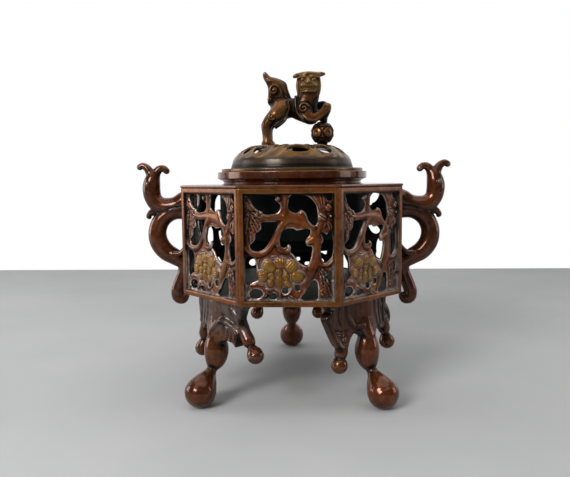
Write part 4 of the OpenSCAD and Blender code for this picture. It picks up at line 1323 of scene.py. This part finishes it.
class Nodes:
    """Builds the nodes of a material or a world in short lines."""

    def __init__(self, owner, shader):
        owner.use_nodes = True
        self.owner = owner
        self.tree = owner.node_tree
        self.shader = self.tree.nodes[shader]

    def fill(self, node, inputs):
        """Links or sets a node's inputs."""
        for key, value in inputs.items():
            if isinstance(value, bpy.types.NodeSocket):
                self.tree.links.new(value, node.inputs[key])
            else:
                node.inputs[key].default_value = value

    def make(self, kind, inputs, **settings):
        node = self.tree.nodes.new(kind)
        for key, value in settings.items():
            setattr(node, key, value)
        self.fill(node, inputs)
        return node

    def math(self, operation, a, b):
        return self.make("ShaderNodeMath", {0: a, 1: b}, operation=operation).outputs[0]

    def plus(self, a, b):
        return self.math("ADD", a, b)

    def minus(self, a, b):
        return self.math("SUBTRACT", a, b)

    def times(self, a, b):
        return self.math("MULTIPLY", a, b)

    def layer(self, name):
        """A value kept on the mesh's corners."""
        return self.make("ShaderNodeAttribute", {}, attribute_name=name).outputs["Fac"]

    def coordinates(self, kind):
        return self.make("ShaderNodeTexCoord", {}).outputs[kind]

    def part(self, vector, axis):
        return self.make("ShaderNodeSeparateXYZ", {"Vector": vector}).outputs[axis]

    def noise(self, scale, detail=3.0):
        inputs = {"Vector": self.coordinates("Object"), "Scale": scale, "Detail": detail, "Roughness": 0.55}
        return self.make("ShaderNodeTexNoise", inputs).outputs["Fac"]

    def ramp(self, value, low, high):
        """Runs from 0 to 1 as the value goes from low to high."""
        inputs = {"Value": value, "From Min": low, "From Max": high}
        return self.make("ShaderNodeMapRange", inputs, clamp=True).outputs["Result"]

    def patches(self, scale, detail, low, high):
        """Patches of noise: 0 where it is below low, 1 where it is above high."""
        return self.ramp(self.noise(scale, detail), low, high)

    def scale(self, share, a, b):
        """Runs from the number a to b as the share goes from 0 to 1."""
        return self.make("ShaderNodeMix", {0: share, 2: a, 3: b}, data_type="FLOAT").outputs[0]

    def mix(self, share, a, b):
        """Runs from the colour a to b as the share goes from 0 to 1."""
        return self.make("ShaderNodeMix", {0: share, 6: a, 7: b}, data_type="RGBA").outputs[2]

    def bump(self, height, strength, distance):
        inputs = {"Height": height, "Strength": strength, "Distance": distance}
        return self.make("ShaderNodeBump", inputs).outputs["Normal"]


def new_material(name):
    """The nodes of a new material."""
    return Nodes(bpy.data.materials.new(name), "Principled BSDF")


def bronze_colour(n, patina, wear_and_highlight, gilt, dark):
    """A mottled patina with gold that is patchy from wear, pale bare edges that also stand for painted
    highlights, painted shade in the hollows and on undersides, and dust with painted sheen over all.
    """
    shaded = tuple(0.42 * c for c in patina)
    mottle = n.patches(scale=70.0, detail=5.0, low=0.36, high=0.64)
    colour = n.mix(mottle, (*patina, 1), (*shaded, 1))
    specks = n.patches(scale=420.0, detail=3.0, low=0.45, high=0.8)
    colour = n.mix(n.times(specks, 0.08), colour, (*wear_and_highlight, 1))
    stray = n.times(n.patches(scale=38.0, detail=3.0, low=0.5, high=0.68), 0.4)
    laid = n.math("MAXIMUM", n.layer("gilt"), stray)
    lasting = n.patches(scale=220.0, detail=4.0, low=0.3, high=0.55)
    colour = n.mix(n.times(laid, lasting), colour, (*gilt, 1))
    # Pale bare edges along ridges: wear, and painted highlights
    edge = n.ramp(n.plus(n.layer("edge"), n.times(n.noise(160.0), 0.05)), 0.06, 0.18)
    patchy = n.times(edge, n.patches(scale=190.0, detail=4.0, low=0.32, high=0.56))
    ungilt = n.minus(1.0, n.times(n.layer("gilt"), 0.8))
    colour = n.mix(n.times(patchy, ungilt), colour, (*wear_and_highlight, 1))
    # Painted shade: the hollows and undersides go towards near-black
    colour = n.mix(dark, colour, (*PAINTED_SHADE_BLACK, 1))
    # Dust, with painted sheen on the side panels and on one leg's leaf
    dust_and_sheen = n.times(n.layer("dust"), n.patches(scale=260.0, detail=4.0, low=0.32, high=0.6))
    return n.mix(dust_and_sheen, colour, (*DUST_AND_SHEEN_GREY, 1))


def bronze(name, patina, wear_and_highlight, gilt, coat, gloss=0.22, darkening=0.42):
    """Cast bronze, darker and rougher where painted shade lies; coat is a thin varnish's weight and
    roughness.
    """
    n = new_material(name)
    # Painted shade from the hollow layer, full at the darkening level
    dark = n.ramp(n.layer("hollow"), 0.1 * darkening, darkening)
    dark = n.times(dark, n.minus(0.96, n.times(n.layer("gilt"), 0.4)))
    rough = n.plus(n.times(n.noise(240.0), 0.12), gloss - 0.06)
    height = n.plus(n.noise(260.0, 4.0), n.times(n.noise(1100.0, 2.0), 0.3))
    n.fill(n.shader, {
        "Base Color": bronze_colour(n, patina, wear_and_highlight, gilt, dark),
        "Roughness": n.plus(rough, n.times(dark, 0.3)),
        "Metallic": 0.45,
        "Specular IOR Level": 0.1,
        "Coat Weight": coat[0],
        "Coat Roughness": coat[1],
        "Normal": n.bump(height, 0.1, 0.0005),
    })
    return n.owner


def dark_inside(name):
    """The matte inside: a grey-green floor plate below a near-black bowl."""
    n = new_material(name)
    darkening = n.ramp(n.part(n.coordinates("Object"), "Z"), INSIDE_DARK_LOW_Z, INSIDE_DARK_FULL_Z)
    cloud = n.patches(scale=90.0, detail=4.0, low=0.3, high=0.7)
    pale = n.mix(cloud, (0.07, 0.082, 0.068, 1), (0.11, 0.12, 0.1, 1))
    black = n.mix(cloud, (0.004, 0.006, 0.006, 1), (0.012, 0.017, 0.016, 1))
    n.fill(n.shader, {
        "Base Color": n.mix(darkening, pale, black),
        "Roughness": n.plus(n.times(n.noise(200.0), 0.3), 0.4),
        "Metallic": 0.2,
        "Specular IOR Level": 0.2,
        "Normal": n.bump(n.noise(300.0, 4.0), 0.2, 0.0006),
    })
    return n.owner


def make_camera():
    """The photograph's viewpoint: its place, its aim, a slight roll and a 37 mm lens."""
    azimuth, pitch, yaw, roll = (math.radians(d) for d in (1.75, 5.85, -0.74, -0.59))
    reach, height = 0.31197, 0.10754
    beside = Vector((math.cos(azimuth), math.sin(azimuth), 0))
    ahead = Vector((-math.sin(azimuth), math.cos(azimuth), 0))
    aim = ahead * math.cos(yaw) + beside * math.sin(yaw)
    across = beside * math.cos(yaw) - ahead * math.sin(yaw)
    up = Vector((0, 0, 1))
    look = aim * math.cos(pitch) - up * math.sin(pitch)
    over = up * math.cos(pitch) + aim * math.sin(pitch)
    right = across * math.cos(roll) + over * math.sin(roll)
    top = over * math.cos(roll) - across * math.sin(roll)
    camera = add_object("camera", bpy.data.cameras.new("camera"))
    turn = Matrix((right, top, -look)).transposed().to_4x4()
    spot = (reach * math.sin(azimuth), AXIS_Y - reach * math.cos(azimuth), height)
    camera.matrix_world = Matrix.Translation(spot) @ turn
    camera.data.lens = 37.285
    camera.data.sensor_width = 36.0
    camera.data.clip_start = 0.01
    bpy.context.scene.camera = camera


def make_floor():
    """A plain pale table top that ends behind the burner."""
    half, front, back = 1.2, -0.7, 0.374
    mesh = bpy.data.meshes.new("floor")
    corners = [(-half, front, 0), (half, front, 0), (half, back, 0), (-half, back, 0)]
    mesh.from_pydata(corners, [], [(0, 1, 2, 3)])
    n = new_material("floor")
    cloud = n.patches(scale=9.0, detail=4.0, low=0.3, high=0.7)
    n.fill(n.shader, {
        "Base Color": n.mix(cloud, (0.455, 0.46, 0.465, 1), (0.51, 0.51, 0.51, 1)),
        "Roughness": 0.8,
        "Specular IOR Level": 0.2,
    })
    mesh.materials.append(n.owner)
    floor = add_object("floor", mesh)


def make_world():
    """A white backdrop where it is seen; metal mirrors it, and the darker room in front of the burner."""
    world = bpy.data.worlds.new("studio")
    bpy.context.scene.world = world
    n = Nodes(world, "Background")
    behind = n.part(n.coordinates("Generated"), "Y")
    room = {"Value": behind, "From Min": 0.0, "From Max": 0.6, "To Min": 0.1}
    mirrored_room = n.make("ShaderNodeMapRange", room).outputs["Result"]
    path = n.make("ShaderNodeLightPath", {}).outputs
    seen = n.math("MAXIMUM", path["Is Camera Ray"], path["Is Transmission Ray"])
    light = n.scale(path["Is Glossy Ray"], 0.125, mirrored_room)
    n.fill(n.shader, {"Strength": n.scale(seen, light, 1.0), "Color": (1, 1, 1, 1)})


def make_lamp(name, spot, size, power):
    """A soft rectangular lamp that points at the burner; places and sizes in metres, power in watts."""
    lamp = add_object(name, bpy.data.lights.new(name, "AREA"))
    lamp.data.shape = "RECTANGLE"
    lamp.data.size, lamp.data.size_y = size
    lamp.data.energy = power
    lamp.location = spot
    lamp.rotation_mode = "QUATERNION"
    lamp.rotation_quaternion = (Vector(LAMP_AIM) - Vector(spot)).to_track_quat("-Z", "Y")


def dress():
    """Makes the materials, every sculpted piece, and the grey-green and near-black material of the solids
    inside.
    """
    # Pale colour of edges with wear, which also stands for painted highlights
    pale_wear_and_highlight = (0.6, 0.5, 0.44)
    body = bronze("bronze", patina=(0.17, 0.04, 0.007), wear_and_highlight=pale_wear_and_highlight, gilt=(0.25, 0.13, 0.03),
                  coat=(0.09, 0.1), gloss=0.3)
    limbs = bronze("polished_bronze", patina=(0.122, 0.03, 0.007), wear_and_highlight=pale_wear_and_highlight, gilt=(0.18, 0.06, 0.012),
                   coat=(0.4, 0.05), gloss=0.18)
    lid = bronze("lid_bronze", patina=(0.078, 0.054, 0.038), wear_and_highlight=(0.155, 0.1, 0.05),
                 gilt=(0.145, 0.066, 0.012), coat=(0.13, 0.18), darkening=0.28)
    lion = bronze("lion_bronze", patina=(0.17, 0.058, 0.016), wear_and_highlight=(0.34, 0.19, 0.08),
                  gilt=(0.3, 0.17, 0.055), coat=(0.14, 0.1), darkening=0.2)
    inner = dark_inside("inner_bronze")
    make_panels(body)
    make_collar(limbs)
    make_shoulder(limbs)
    make_handles(limbs)
    make_legs(limbs)
    make_lid(lid)
    make_lion(lion)
    make_ball(lion)
    for node in ("floor_plate", "bowl", "leg_rivets"):
        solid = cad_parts[node]
        solid.data.materials.clear()
        solid.data.materials.append(inner)


bpy.context.scene.view_settings.view_transform = "Standard"
make_camera()
make_floor()
make_world()
make_lamp("key", spot=(-0.4, -0.6, 0.45), size=(0.3, 0.3), power=4.5)
make_lamp("window", spot=(-0.8, 0.05, 0.22), size=(0.35, 0.4), power=2.2)
make_lamp("fill", spot=(0.8, -0.05, 0.25), size=(0.3, 0.4), power=1.1)
make_lamp("top", spot=(0.0, 0.0, 0.9), size=(1.4, 1.4), power=6.5)
dress()
